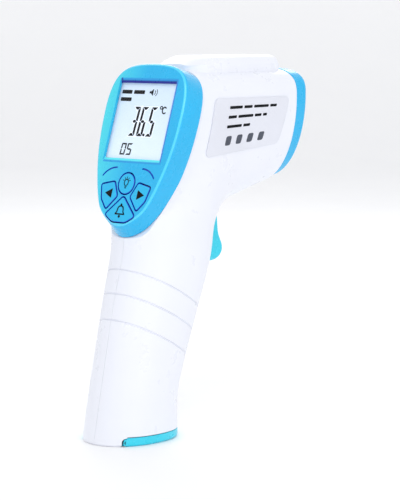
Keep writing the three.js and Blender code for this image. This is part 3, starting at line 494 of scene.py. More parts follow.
# ------------------------------------------------------------------ materials
class Look:
    """A node material under construction."""

    def __init__(self, name):
        self.material = bpy.data.materials.new(name)
        self.material.use_nodes = True
        self.tree = self.material.node_tree
        self.tree.nodes.clear()
        self.output = self.tree.nodes.new("ShaderNodeOutputMaterial")
        self.shader = self.tree.nodes.new("ShaderNodeBsdfPrincipled")
        self.tree.links.new(self.shader.outputs[0], self.output.inputs[0])
        self.where = self.add("ShaderNodeTexCoord").outputs["Object"]

    def add(self, kind, **values):
        node = self.tree.nodes.new(kind)
        for key, value in values.items():
            if hasattr(node, key):
                setattr(node, key, value)
            else:
                self.set(node.inputs[key.replace("_", " ").title()], value)
        return node

    def set(self, socket, value):
        if hasattr(value, "is_output"):
            self.tree.links.new(value, socket)
        else:
            if hasattr(value, "__len__") and len(value) == 3 and socket.type == "RGBA":
                value = (*value, 1)
            socket.default_value = value

    def to(self, **values):
        for key, value in values.items():
            self.set(self.shader.inputs[key.replace("_", " ")], value)
        return self

    def noise(self, size, detail=3, rough=0.5, stretch=(1, 1, 1)):
        """Noise whose features are about size millimetres across."""
        scaled = self.add("ShaderNodeMapping", Vector=self.where, Scale=stretch)
        node = self.add("ShaderNodeTexNoise", Vector=scaled.outputs[0], Scale=1 / (size * MM), Detail=detail)
        node.inputs["Roughness"].default_value = rough
        return node.outputs["Fac"]

    def span(self, value, low, high, from_low=0.3, from_high=0.7):
        node = self.add("ShaderNodeMapRange")
        node.inputs["From Min"].default_value = from_low
        node.inputs["From Max"].default_value = from_high
        self.set(node.inputs["Value"], value)
        self.set(node.inputs["To Min"], low)
        self.set(node.inputs["To Max"], high)
        return node.outputs["Result"]

    def mix(self, factor, a, b):
        node = self.add("ShaderNodeMix", data_type="RGBA")
        self.set(node.inputs[0], factor)
        self.set(node.inputs[6], a)
        self.set(node.inputs[7], b)
        return node.outputs[2]

    def math(self, how, a, b=0.0):
        node = self.add("ShaderNodeMath", operation=how)
        self.set(node.inputs[0], a)
        self.set(node.inputs[1], b)
        return node.outputs[0]

    def bump(self, height, depth, edge=0.0):
        """Relief depth millimetres deep, on edges rounded by edge millimetres."""
        node = self.add("ShaderNodeBump", Height=height)
        node.inputs["Strength"].default_value = 1
        node.inputs["Distance"].default_value = depth * MM
        if edge:
            bevel = self.add("ShaderNodeBevel", samples=4)
            bevel.inputs["Radius"].default_value = edge * MM
            self.tree.links.new(bevel.outputs[0], node.inputs["Normal"])
        return self.to(Normal=node.outputs[0])

    def edge_mask(self, radius, low=0.02, high=0.25):
        """1 along edges, from how far a rounded normal turns away from the true one."""
        bevel = self.add("ShaderNodeBevel", samples=4)
        bevel.inputs["Radius"].default_value = radius * MM
        geometry = self.add("ShaderNodeNewGeometry")
        dot = self.add("ShaderNodeVectorMath", operation="DOT_PRODUCT")
        self.tree.links.new(bevel.outputs[0], dot.inputs[0])
        self.tree.links.new(geometry.outputs["Normal"], dot.inputs[1])
        return self.span(self.math("SUBTRACT", 1.0, dot.outputs["Value"]), 0.0, 1.0, low, high)


def rgb(text):
    """A colour given as sRGB hex, in linear light."""
    parts = [int(text[i:i + 2], 16) / 255 for i in (0, 2, 4)]
    return tuple(c / 12.92 if c <= 0.04045 else ((c + 0.055) / 1.055) ** 2.4 for c in parts)


def shade(color, factor):
    return tuple(min(1, c * factor) for c in color)


def moulded(name, color, rough=0.3, grain=0.003, edge=0.2, coat=0.0, vary=0.03, wear=0.15, painted_sheen=None):
    """Injection-moulded plastic: faint flow marks, fine grain, handling haze and softened edges.

    A painted sheen colour, standing in for a reflection, takes over towards the holder's left.
    """
    look = Look(name)
    cloud = look.noise(26, 2)
    tone = look.mix(look.span(cloud, 0.0, 1.0), shade(color, 1 - vary), shade(color, 1 + vary))
    if painted_sheen:
        # Painted sheen: blends towards the sheen colour the further the point lies to the holder's left.
        side = look.add("ShaderNodeSeparateXYZ", Vector=look.where).outputs[1]
        tone = look.mix(look.span(side, 0.0, 1.0, 2 * MM, 21 * MM), tone, painted_sheen)
    if wear:
        tone = look.mix(look.math("MULTIPLY", look.edge_mask(0.3), wear), tone, shade(color, 1.25))
    haze = look.span(look.noise(9, 4, 0.65), rough - 0.05, rough + 0.07)
    speck = look.noise(0.35, 2)
    look.to(Base_Color=tone, Roughness=haze, IOR=1.5)
    look.bump(speck, grain, edge)
    if coat:
        look.to(Coat_Weight=coat, Coat_Roughness=0.08)
    return look.material


def metal(name, color, rough=0.25, lines=(1, 1, 14), grain=0.002, edge=0.08):
    """Plated or turned metal: fine directional lines, uneven polish and a few dull patches."""
    look = Look(name)
    scratch = look.noise(0.6, 4, 0.7, stretch=lines)
    dull = look.noise(3.5, 3)
    look.to(Base_Color=look.mix(look.span(dull, 0.0, 1.0), shade(color, 0.8), color), Metallic=1.0)
    polish = look.span(scratch, rough - 0.06, rough + 0.1)
    look.to(Roughness=look.math("ADD", polish, look.span(dull, 0.0, 0.1)))
    look.bump(scratch, grain, edge)
    return look.material


def rubber(name, color, rough=0.65):
    """Dusty matt rubber."""
    look = Look(name)
    dust = look.noise(4, 5, 0.7)
    look.to(Base_Color=look.mix(look.span(dust, 0.0, 0.5), color, shade(color, 1.5)))
    look.to(Roughness=look.span(look.noise(1.2, 3), rough - 0.1, rough + 0.1), Sheen_Weight=0.15)
    look.bump(look.noise(0.25, 3), 0.006, 0.12)
    return look.material


def circuit(name):
    """Green board: copper tracks under the mask."""
    look = Look(name)
    cells = look.add("ShaderNodeTexBrick", Vector=look.where, Scale=1 / (5 * MM))
    cells.inputs["Mortar Size"].default_value = 0.06
    cells.inputs["Color1"].default_value = (0, 0, 0, 1)
    cells.inputs["Color2"].default_value = (0.1, 0.1, 0.1, 1)
    cells.inputs["Mortar"].default_value = (1, 1, 1, 1)
    dark, light = rgb("0e5a2c"), rgb("2c8a48")
    look.to(Base_Color=look.mix(cells.outputs["Fac"], dark, light), Coat_Weight=0.6, Coat_Roughness=0.12)
    look.to(Roughness=look.span(look.noise(2, 3), 0.3, 0.5))
    look.bump(cells.outputs["Fac"], 0.03, 0.05)
    return look.material


def clear_window(name):
    """A thin clear pane: light passes straight through, and the surface mirrors at a glance."""
    look = Look(name)
    tree = look.tree
    through = look.add("ShaderNodeBsdfTransparent")
    through.inputs["Color"].default_value = (0.96, 0.975, 0.985, 1)
    gloss = look.add("ShaderNodeBsdfGlossy")
    smear = look.span(look.noise(7, 4, 0.7), 0.02, 0.09)
    look.set(gloss.inputs["Roughness"], smear)
    fresnel = look.add("ShaderNodeFresnel")
    fresnel.inputs["IOR"].default_value = 1.45
    inside = look.add("ShaderNodeNewGeometry").outputs["Backfacing"]
    front = look.math("SUBTRACT", 0.7, look.math("MULTIPLY", inside, 0.7))
    mirror = look.math("MULTIPLY", fresnel.outputs[0], front)
    mixer = look.add("ShaderNodeMixShader")
    tree.links.new(mirror, mixer.inputs[0])
    tree.links.new(through.outputs[0], mixer.inputs[1])
    tree.links.new(gloss.outputs[0], mixer.inputs[2])
    tree.links.new(mixer.outputs[0], look.output.inputs[0])
    tree.nodes.remove(look.shader)
    return look.material


def lcd(name):
    """Grey-blue liquid crystal cell, lit from behind, lighter at its bottom and darker towards its top."""
    look = Look(name)
    place = look.add("ShaderNodeSeparateXYZ", Vector=look.where).outputs
    low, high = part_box("lcd_panel")
    rise = look.span(place[2], 0.0, 1.0, low[2], high[2])
    tone = look.mix(rise, rgb("e8f1fa"), rgb("d4e2f0"))
    mottle = look.noise(1.6, 3)
    tone = look.mix(look.math("MULTIPLY", mottle, 0.08), tone, rgb("c4d2e8"))
    look.to(Base_Color=tone, Roughness=look.span(mottle, 0.3, 0.42))
    look.to(Emission_Color=tone, Emission_Strength=0.25)
    look.bump(look.noise(0.2, 2), 0.002)
    return look.material


def ink(name, color, rough=0.6):
    """Screen print: a thin, slightly uneven layer."""
    look = Look(name)
    patchy = look.noise(0.5, 4, 0.7)
    look.to(Base_Color=look.mix(look.span(patchy, 0.0, 1.0), color, shade(color, 1.5)))
    look.to(Roughness=look.span(patchy, rough - 0.1, rough + 0.1), Specular_IOR_Level=0.15)
    look.bump(patchy, 0.004)
    return look.material


def recess_painted_shading():
    """Walls of the display's recess, coloured by which way they face: painted shade makes them navy under the
    top edge, a painted highlight makes the sill bright, and the sides are painted lighter or darker blue by
    facing.
    """
    look = Look("recess")
    normal = look.add("ShaderNodeNewGeometry").outputs["Normal"]
    across = look.add("ShaderNodeSeparateXYZ", Vector=normal).outputs[1]
    upward = look.add("ShaderNodeVectorMath", operation="DOT_PRODUCT")
    look.set(upward.inputs[0], normal)
    upward.inputs[1].default_value = (math.sin(TILT), 0, math.cos(TILT))
    rise = upward.outputs["Value"]
    # Painted light and shade by facing: the left wall lighter cyan, the right wall darker blue, the sill
    # light, the underside of the top edge navy.
    sides = look.mix(look.span(across, 0.0, 1.0, -0.3, 0.3), rgb("22b4e2"), rgb("1a7ade"))
    lower = look.mix(look.span(rise, 0.0, 1.0, 0.15, 0.25), sides, rgb("5aeaf4"))
    tone = look.mix(look.span(rise, 0.0, 1.0, -0.25, -0.15), rgb("02188c"), lower)
    look.to(Base_Color=tone, Roughness=look.span(look.noise(3, 3), 0.25, 0.38))
    look.bump(look.noise(0.3, 2), 0.002)
    return look.material


def halo_look():
    """The faint light rim round each lit figure."""
    look = Look("halo")
    soft = look.noise(0.8, 2)
    look.to(Base_Color=look.mix(soft, rgb("fbfcff"), rgb("eef2fb")), Roughness=look.span(soft, 0.3, 0.4))
    look.to(Emission_Color=(0.9, 0.95, 1, 1), Emission_Strength=0.32)
    return look.material


def striped(name, dark, light, pitch):
    """Bands across the part, pitch millimetres apart."""
    look = Look(name)
    place = look.add("ShaderNodeSeparateXYZ", Vector=look.where).outputs
    wave = look.math("SINE", look.math("MULTIPLY", place[1], 2 * math.pi / (pitch * MM)))
    look.to(Base_Color=look.mix(look.span(wave, 0.0, 1.0, -0.2, 0.2), dark, light))
    look.to(Roughness=look.span(look.noise(1, 3), 0.55, 0.7))
    look.bump(wave, 0.01)
    return look.material


def diffuser():
    """White sheet of the backlight, with its grid of dots."""
    look = Look("diffuser")
    dots = look.add("ShaderNodeTexVoronoi", Vector=look.where, Scale=1 / (0.8 * MM))
    look.to(Base_Color=look.mix(dots.outputs["Distance"], rgb("ffffff"), rgb("dfe4ea")))
    look.to(Roughness=look.span(look.noise(3, 3), 0.4, 0.6))
    look.bump(dots.outputs["Distance"], 0.02, 0.1)
    return look.material


def filter_look():
    """The dark coated filter over the sensor."""
    look = Look("filter")
    haze = look.noise(1.5, 3)
    look.to(Base_Color=look.mix(haze, rgb("3b3f52"), rgb("5a5068")), Metallic=0.7)
    look.to(Roughness=look.span(haze, 0.08, 0.16), Coat_Weight=0.6, Coat_Roughness=0.04)
    look.bump(haze, 0.001)
    return look.material


WHITE = moulded("white_plastic", rgb("eceef6"), grain=0.0015, edge=0, vary=0.01, wear=0)
GLOSSY = {"grain": 0.0015, "edge": 0.3, "coat": 0.15}
BLUE = moulded("blue_plastic", rgb("18b4ea"), rough=0.26, **GLOSSY)
CYAN = moulded("cyan_plastic", rgb("2ed0e8"), rough=0.28, **GLOSSY)
# Painted highlight: a light cyan for the middle of the bezel's rounded face edge, in place of a reflected
# light.
PAINTED_EDGE_HIGHLIGHT = moulded("bezel_edge_painted_highlight", rgb("4cd2f6"), rough=0.24, grain=0.0015, edge=0, coat=0.3)
# Painted sheen: the bezel turns lighter cyan towards the holder's left, in place of a reflection on its face.
BEZEL = moulded("bezel_plastic", rgb("18b4ea"), rough=0.26, painted_sheen=rgb("48dcea"), **GLOSSY)
NAVY = moulded("navy_edge", rgb("0c4cc8"), rough=0.35, grain=0.002, edge=0.05)
KEY = moulded("key_plastic", rgb("1cb8ea"), rough=0.3, grain=0.002, edge=0.1)
INNER = moulded("inner_plastic", rgb("dfe2ea"), rough=0.5, grain=0.01, edge=0.1)
BLACK = moulded("black_plastic", rgb("1a1b1e"), rough=0.45, grain=0.01, edge=0.15)
STEEL = metal("zinc_steel", rgb("c3c6ca"), 0.28)
BRASS = metal("brass", rgb("c9a85c"), 0.3, lines=(16, 1, 1))
NICKEL = metal("nickel", rgb("d8d5cc"), 0.2)
SILICONE = rubber("grey_silicone", rgb("a9adb6"))
BOARD = circuit("green_board")
WINDOW = clear_window("clear_window")
LCD = lcd("lcd_cell")
INK = ink("black_print", rgb("0b0c10"))
DIFFUSER = diffuser()
FILTER = filter_look()
ZEBRA = striped("zebra", rgb("d9a3a0"), rgb("4a3f44"), 0.5)
CABLE = striped("flat_cable", rgb("c9ccd2"), rgb("9da2ab"), 1.2)
RED = moulded("red_insulation", rgb("c4211d"), 0.4, 0.003, 0.05)
LABEL = moulded("label_film", rgb("dfe1ea"), 0.42, 0.004, 0.1)
GREY_INK = ink("grey_print", rgb("4a4e58"))
WRAP = moulded("cell_sleeve", rgb("26394d"), 0.3, 0.003, 0.1, coat=0.3)


# ------------------------------------------------------------------ pieces
def finish_piece(obj, body, material_slot, *nodes, angle=SMOOTH_ANGLE):
    """Smooths the piece up to an angle, rides it on its body and lets it stand for the nodes."""
    if angle:
        tidy(obj, angle)
    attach(obj, body)
    if nodes:
        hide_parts(*nodes)
    return obj


def paint(obj, *materials):
    obj.data.materials.clear()
    for material in materials:
        obj.data.materials.append(material)
    return obj


def paint_rows(obj, around, choose):
    """Sets each face's material from its row in the loft and its number of corners."""
    for polygon in obj.data.polygons:
        row = min(polygon.vertices) // around
        polygon.material_index = int(choose(row, len(polygon.vertices)))


def shell_cutters():
    """Everything cut from the skin of the housing."""
    rear = BEZEL_DEPTH + GAP
    seat = arc_length(BEZEL_SEAT, 40, closed=False)
    side = [behind_face(*p) for p in ((60, -20), (60, rear), *seat, (-46, -20))]
    opening = grown(bezel_outline(), -PLATE - GAP)
    slot = [(28, 65.4), (60, 65.4), (60, 72), (45.4, 80), (44.2, 85), (43.6, 91.8), (28, 91.8)]
    slot = rounded(slot, 0.6, 3)
    hx, hz = HINGE
    reach = hz + GAP
    turn = np.linspace(0, math.pi / 2, 16)
    over = np.stack([hx - reach * np.sin(turn), hz + reach * np.cos(turn)], -1)
    door = [(hx - reach, -9), (40, -9), (40, DOOR_TOP + GAP), (hx, DOOR_TOP + GAP), *over]
    return [
        prism("rear_cut", side, place_y, -30, 30),
        prism("opening", opening, place_face, -14, 20),
        prism("slot", slot, place_y, -TRIGGER_HALF - 0.5, TRIGGER_HALF + 0.5),
        block("nose_cut", (NOSE_X - RING_DEPTH, -40, 60), (110, 40, 170)),
        block("foot_cut", (-60, -40, -20), (60, 40, 0)),
        prism("door_cut", door, place_y, -30, 30),
    ]


def housing():
    """Both halves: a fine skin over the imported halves' own ribs and bosses."""
    skin = combine(body_solid("skin", 0), top_block(), how="UNION")
    paint(skin, WHITE)
    cavity = paint(body_solid("cavity", -WALL, 1.6, 72), INNER)
    inner_limit = block("limit", (-60, -40, 2.2), (NOSE_X - 4, 40, 160))
    cavity = combine(cavity, inner_limit, how="INTERSECT")
    core = body_solid("core", -WALL + 0.4, 1.6, 72)
    combine(skin, cavity, *shell_cutters())
    for node, y0, y1 in (("right_shell", -60, -SEAM / 2), ("left_shell", SEAM / 2, 60)):
        half = copy_of(skin, node + "_skin")
        combine(half, block("half", (-80, y0, -10), (120, y1, 200)), how="INTERSECT")
        ribs = paint(copy_of(CAD[node], node + "_ribs"), INNER)
        ribs.parent = None
        combine(ribs, copy_of(core, "core_copy"), how="INTERSECT")
        combine(half, ribs, how="UNION")
        if node == "left_shell":
            for x, z in SCREWS:
                combine(half, cylinder("bore", (x, 8, z), (x, 40, z), 3))
        true_normals(half)
        finish_piece(half, "housing", "white_plastic", node, angle=None)
    discard(skin, core)


# ------------------------------------------------------------------ display bezel and keys
def tip_rise(v, w):
    return TIP_RISE * smooth_step(-v, TIP_FROM, TIP_TO) * max(0, 1 + w / TIP_DEPTH)


def face_rows(outline, levels):
    """Loops of an outline on the display's face; each level is (growth, height)."""
    return [place_face(*grown(outline, growth).T, w) for growth, w in levels]


def bezel_row(inset, w):
    u, v = grown(bezel_outline(), -inset).T
    return place_face(u, v + tip_rise(v, w), w)


def display_bezel():
    """A hollow cap with a rounded edge that carries a painted highlight, opened for the window, the pane's
    seat, the keys and two arcs.
    """
    levels = [(PLATE, w) for w in (-PLATE, -3, -4, -5, -BEZEL_DEPTH)]
    levels += [(0.35, -BEZEL_DEPTH), (0.1, -BEZEL_DEPTH + 0.1), (0, -BEZEL_DEPTH + 0.35)]
    levels += [(0, w) for w in (-5, -4, -3, -2)]
    first = len(levels) + 2
    levels += [(inset, -drop) for inset, drop in fillet(BEZEL_ROUND, 8)] + [(1.8, 0)]
    bezel = paint(loft("display_bezel", [bezel_row(*level) for level in levels]), BEZEL, PAINTED_EDGE_HIGHLIGHT)
    # These fillet rows take the painted highlight colour.
    bright = range(first + 1, first + 5)
    paint_rows(bezel, len(bezel_outline()), lambda row, corners: row in bright and corners == 4)

    def level(w, *sides):
        return place_face(*rectangle(*sides, 0.5, 6).T, w)

    flared = np.add(OPENING, (-0.3, 2.1, -2.7, 2.7))
    window = loft("window_cut", [level(-4, *OPENING), level(-0.7, *OPENING), level(0.35, *flared)])
    # The recess walls carry painted shade and a painted highlight.
    paint(window, recess_painted_shading())
    seat = arc_length(BEZEL_SEAT, 40, closed=False)
    edge = [(v, GAP - depth) for v, depth in seat]
    free = np.array(edge + [(-50, edge[-1][1]), (-50, -20), (edge[0][0], -20)])
    rear = prism("bezel_rear", free, lambda v, w, u: place_face(np.full_like(v, u), v, w), -30, 30)
    combine(bezel, paint(rear, BLUE))
    pocket = np.add(GLASS, (-GAP, GAP, -GAP, GAP))
    relief = paint(loft("relief", [level(-4, *pocket), level(-1, *pocket)]), BLUE)
    combine(bezel, window, relief)
    well = ((0.35, -5), (0.35, -0.35), (0.5, 0.02), (0.7, 1))
    for name, outline in KEYS.items():
        combine(bezel, paint(loft(name + "_hole", face_rows(outline, well)), NAVY))
    for side in (1, -1):
        line = bezier((6.9 * side, -18.9), (9.8 * side, -19), (12.3 * side, -20.4), (13.8 * side, -22.6), 24)
        rows = [place_face(*stroke(line, half).T, w) for half, w in ((0.22, -0.4), (0.42, 0.5))]
        combine(bezel, paint(loft("arc", rows), NAVY))
    finish_piece(bezel, "housing", "blue_plastic", "display_bezel", angle=28)


SIDE_KEY = [(6.4, -24.5), (13.1, -25.9), (11.6, -31.6), (8.2, -35.4), (3.5, -30.1)]
MIRRORED = [(-u, v) for u, v in SIDE_KEY[:1] + SIDE_KEY[:0:-1]]
KEYS = {
    "light_button": disc(0, -25, 4.1, 72),
    "right_button": rounded(SIDE_KEY, 0.9, 10),
    "left_button": rounded(MIRRORED, 0.9, 10),
    "alarm_button": rounded([(0, -30), (-7.9, -37.6), (-3.6, -40.2), (3.6, -40.2), (7.9, -37.6)], 1.3, 10),
}


CAP_TOP, CAP_ROUND, CAP_DOME = 0.1, 0.3, 0.14


def keycap(name, outline):
    """A cap with a dark moulded edge and a slightly domed top."""
    middle = outline.mean(axis=0)
    rows = [place_face(*outline.T, -5)]
    rows += face_rows(outline, [(-inset, CAP_TOP - drop) for inset, drop in fillet(CAP_ROUND, 5)])
    edge_rows = len(rows)
    top = grown(outline, -CAP_ROUND)
    for share in (0.92, 0.75, 0.5, 0.25, 0.04):
        rows.append(place_face(*(middle + (top - middle) * share).T, CAP_TOP + CAP_DOME * (1 - share ** 2)))
    cap = paint(loft(name + "_cap", rows), KEY, NAVY)
    paint_rows(cap, len(outline), lambda row, corners: row < edge_rows - 2)
    finish_piece(cap, name.replace("button", "key"), "key_plastic", name, angle=50)


def flat_print(name, outlines, low, high, body, slot, material):
    """Thin printed shapes standing a hair proud of the surface they are printed on."""
    parts = [prism(name, outline, place_face, low, high) for outline in outlines]
    whole = paint(join(parts), material)
    whole.name = name
    return finish_piece(whole, body, slot)


def join(parts):
    """Several separate meshes as one object."""
    bm = bmesh.new()
    for part in parts:
        bm.from_mesh(part.data)
    first = parts[0]
    mesh = bpy.data.meshes.new(first.name)
    bm.to_mesh(mesh)
    bm.free()
    for material in first.data.materials:
        mesh.materials.append(material)
    first.data = mesh
    discard(*parts[1:])
    return first


def bell_outline():
    """A generic bell, seen as a drawn line: dome, flared sides and rim."""
    right = np.vstack([bezier((0, -33.9), (1.2, -33.9), (1.5, -34.8), (1.55, -35.7), 12),
                       bezier((1.55, -35.7), (1.6, -36.3), (2, -36.6), (2.3, -37), 8), [(2.3, -37)]])
    rim = np.linspace((-2.3, -37.1), (2.3, -37.1), 8)
    return [stroke(line, 0.27) for line in (right, right * (-1, 1), rim)]


def key_prints():
    """Arrows, lamp and bell, printed on the caps."""
    def mark(name, outlines, body):
        flat_print(name, outlines, 0, CAP_TOP + CAP_DOME + 0.03, body, "black_plastic", INK)

    mark("left_arrow", [rounded([(-10.2, -29.2), (-6.5, -31.1), (-6.5, -27.3)], 0.3, 4)], "left_key")
    mark("right_arrow", [rounded([(10.8, -29.2), (7.1, -27.3), (7.1, -31.1)], 0.3, 4)], "right_key")
    turn = np.radians(np.linspace(-60, 240, 28))
    glass = np.stack([1.05 * np.cos(turn), -24.6 + 1.2 * np.sin(turn)], -1)
    bulb = [stroke(glass, 0.2), rectangle(-0.6, 0.6, -26.3, -25.85), rectangle(-0.45, 0.45, -26.95, -26.6)]
    for angle in np.radians((25, 58, 90, 122, 155)):
        along = np.array([math.cos(angle), math.sin(angle)])
        bulb.append(stroke(np.array([(0, -24.6) + 1.6 * along, (0, -24.6) + 2.1 * along]), 0.12))
    mark("lamp_print", bulb, "light_key")
    mark("bell_print", [*bell_outline(), disc(0, -38, 0.55), disc(0, -33.4, 0.45)], "alarm_key")


# ------------------------------------------------------------------ read-out
# The bars each figure lights: top, upper right, lower right, bottom, lower left, upper left, middle.
SEGMENTS = {
    "0": (1, 1, 1, 1, 1, 1, 0),
    "3": (1, 1, 1, 1, 0, 0, 1),
    "5": (1, 0, 1, 1, 0, 1, 1),
    "6": (1, 0, 1, 1, 1, 1, 1),
}
READ_OUT = -1.8  # depth of the figures behind the face
SHIFT = (-1.68, 0.3)  # how far the depth moves them, seen at the photo's slant


def figure(char, u, v, width, height, pen, slant=0.08):
    """Outlines of the lit bars of one seven-bar figure, from its lower left corner."""
    w, h, t, g = width, height, pen, pen * 0.12
    half = h / 2
    upper_right = [
        (w, h - g), (w, half + g), (w - t / 2, half + g), (w - t, half + t / 2 + g), (w - t, h - t - g),
    ]
    lower_right = [
        (w, half - g), (w, g), (w - t, t + g), (w - t, half - t / 2 - g), (w - t / 2, half - g),
    ]
    bars = [
        [(g, h), (w - g, h), (w - t - g, h - t), (t + g, h - t)],
        upper_right,
        lower_right,
        [(t + g, t), (w - t - g, t), (w - g, 0), (g, 0)],
        [(w - a, b) for a, b in lower_right],
        [(w - a, b) for a, b in upper_right],
        [(t / 2 + g, half), (t + g, half + t / 2), (w - t - g, half + t / 2), (w - t / 2 - g, half),
         (w - t - g, half - t / 2), (t + g, half - t / 2)],
    ]
    lit = [shape for on, shape in zip(SEGMENTS[char], bars) if on]
    return [np.array([(u + a + slant * b, v + b) for a, b in shape]) for shape in lit]


def on_panel(outline):
    """Outlines are given as they show through the window at a slant; the panel lies behind it."""
    return np.asarray(outline, float) + SHIFT


def read_out():
    """The crystal cell with its lit figures, bars for words and small symbols."""
    outline = rectangle(*GLASS, 0.4, 4)
    rows = [place_face(*outline.T, w) for w in (-4, READ_OUT - 0.06, READ_OUT - 0.02)]
    panel = paint(loft("lcd_cell", rows), LCD)
    finish_piece(panel, "housing", "lcd_glass", "lcd_panel")
    big, small = [disc(3.1, -5.5, 0.6, 16)], []
    for char, u in (("3", -5.4), ("6", -1.0), ("5", 3.8)):
        big += figure(char, u, -6.1, 3.4, 11.7, 1.15, 0.06)
    for char, u in (("0", -7.6), ("5", -4.4)):
        small += figure(char, u, -13.7, 2.6, 4.7, 0.62)
    degree = [open_ring(9.5, 5.5, 0.55, 0.55, -85, 262, 0.2), open_ring(11.3, 4.5, 1, 1.25, 50, 310, 0.27)]
    halo = [grown(on_panel(anticlockwise(o)), 0.4) for o in big]
    places = ((-13.4, -8.0, 10.7), (-7.0, -1.2, 10.7), (-13.4, -7.6, 7.7))
    words = [rectangle(u0, u1, v, v + 1.5, 0.3) for u0, u1, v in places]
    horn = [(1.4, 11.1), (2.2, 11.1), (3.4, 10.1), (3.4, 12.9), (2.2, 11.9), (1.4, 11.9)]
    speaker = [
        rounded(horn, 0.1, 2),
        stroke(bezier((4.1, 10.7), (4.6, 11.2), (4.6, 11.8), (4.1, 12.3), 10), 0.14),
        stroke(bezier((4.9, 10.2), (5.7, 11), (5.7, 12), (4.9, 12.8), 10), 0.14),
    ]
    whole = [on_panel(anticlockwise(o)) for o in big + small + words + speaker + degree]
    back = READ_OUT - 0.03
    flat_print("figure_halo", halo, back, READ_OUT + 0.01, "housing", "lcd_glass", halo_look())
    flat_print("figures", whole, back, READ_OUT + 0.04, "housing", "black_plastic", INK)


def open_ring(u, v, width, height, start, stop, half):
    """A drawn oval, open between its start and stop angles."""
    angle = np.linspace(math.radians(start), math.radians(stop), 30)
    return stroke(np.stack([u + width * np.cos(angle), v + height * np.sin(angle)], -1), half)


def window_pane():
    """The clear pane in its seat behind the bezel's opening."""
    outline = rectangle(*GLASS, 0.6, 5)
    levels = ((-0.12, -1.7), (0, -1.6), (0, -1.2), (-0.12, -1.1))
    pane = paint(loft("window_pane", face_rows(outline, levels)), WINDOW)
    finish_piece(pane, "housing", "clear_plastic", "lcd_window")


# ------------------------------------------------------------------ nose
def nose_ring():
    """A shield outside, drawn in loop by loop to the round mouth."""
    outline = nose_outline()
    angle = np.arctan2(outline[:, 1] - AIM_Z, outline[:, 0])
    start = int(np.argmin(np.abs(angle)))
    outline = np.roll(outline, -start, axis=0)
    turn = full_turn(len(outline)) + angle[start]
    circle = np.stack([np.cos(turn), np.sin(turn)], -1)
    back, seat = NOSE_X - RING_DEPTH + GAP, NOSE_X - 2
    outer = [(0.3, back), (0, back + 0.3)]
    outer += [(inset, NOSE_X - drop) for inset, drop in fillet(1.7, 8)]
    outer += [(2.6, NOSE_X)]
    mouth = ((11.5, 80), (10.7, 80), (10.35, 79.85), (10.2, 79.5), (10.2, seat), (12, seat))
    rows = [place_x(*grown(outline, -inset).T, x) for inset, x in outer]
    rows += [place_x(*(circle * r + (0, AIM_Z)).T, x) for r, x in mouth]
    rows += [place_x(*grown(outline, -2).T, x) for x in (seat, back)]
    ring = paint(loft("nose_ring_cap", rows, ring=True), BLUE)
    finish_piece(ring, "housing", "blue_plastic", "nose_ring", angle=30)


def sensor():
    """Stepped aiming funnel, sensor can with its rim and filter."""
    wide, narrow, mouth, throat, steps = 9.4, 3.6, 79, 60.4, 9
    inside = []
    for i in range(steps):
        r0, x0 = wide - (wide - narrow) * i / steps, mouth - (mouth - throat) * i / steps
        r1, x1 = wide - (wide - narrow) * (i + 1) / steps, mouth - (mouth - throat) * (i + 1) / steps
        inside += [(r0 - 0.25, x0 - 0.15), (r0 - 0.12, x0 - 0.5), (r1 - 0.1, x1 + 0.6), (r1 - 0.25, x1 + 0.1)]
    profile = [
        (3.4, 60.2), (4.6, 60.2), (9.4, 74), (13.3, 74), (13.5, 74.2), (13.5, 77.5), (9.9, 77.5), (9.9, 79.1),
        (9.75, 79.3), (9.2, 79.3), *inside, (3.4, 60.4), (3.4, 60.2),
    ]
    funnel = paint(lathe("funnel", profile), BLACK)
    finish_piece(funnel, "housing", "black_plastic", "nose_funnel", angle=25)
    can = [
        (0, 53), (4.5, 53), (4.6, 53.1), (4.6, 53.5), (4.5, 53.6), (4.15, 53.65), (4.1, 53.8), (4.1, 57.1),
        (4.0, 57.3), (3.85, 57.4), (2.6, 57.4), (2.5, 57.3), (2.5, 56.9), (0, 56.9),
    ]
    parts = [paint(lathe("sensor_can", can, segments=72), NICKEL)]
    for y, z in ((1.8, 1.8), (1.8, -1.8), (-1.8, 1.8), (-1.8, -1.8)):
        parts.append(cylinder("lead", (44.8, y, AIM_Z + z), (53.2, y, AIM_Z + z), 0.23, 16))
    whole = join(parts)
    finish_piece(whole, "housing", "nickel", "thermopile_can", angle=30)
    disc_profile = [(0, 57.2), (2.2, 57.2), (2.3, 57.28), (2.3, 57.52), (2.2, 57.6), (0, 57.6)]
    pane = paint(lathe("sensor_filter", disc_profile, segments=64), FILTER)
    finish_piece(pane, "housing", "filter", "sensor_window", angle=30)


# ------------------------------------------------------------------ trigger, door and label
def trigger():
    """Side outline carried across the width with rounded edges; hollow behind for its spring."""
    turn = np.linspace(math.radians(135), 0, 16)
    px, pz = TRIGGER_PIVOT
    crown = np.stack([px + 3.4 * np.cos(turn), pz + 3.4 * np.sin(turn)], -1)
    front = np.vstack([
        bezier(crown[-1], (42.4, 86), (42.8, 82), (43.1, 79), 20),
        bezier((43.1, 79), (43.4, 75), (45.9, 73.5), (45.7, 70.6), 20),
        bezier((45.7, 70.6), (45.4, 67.7), (42.5, 66), (39, 66), 20),
    ])
    rest = [(39, 66), (31.5, 66.2), (31.5, 79.5), (28.6, 80), (28.6, 84)]
    outline = anticlockwise(np.vstack([crown, front[1:], rest]))
    rows = []
    for y, side in ((-TRIGGER_HALF, 1), (TRIGGER_HALF, -1)):
        edge = [place_y(*grown(outline, -inset).T, y + side * drop) for inset, drop in fillet(1.5, 7)]
        rows += edge[::-1] if side == 1 else edge
    blade = paint(loft("trigger_blade", rows), CYAN)
    hollow = paint(block("hollow", (30, -3.6, 68), (38.5, 3.6, 77.6)), CYAN)
    combine(blade, hollow, cylinder("pin_hole", (px, -20, pz), (px, 20, pz), 1.45))
    combine(blade, paint(block("nose", (28.6, -2.6, 80.2), (34, 2.6, 83.6)), CYAN), how="UNION")
    finish_piece(blade, "trigger", "blue_plastic", "trigger", angle=30)


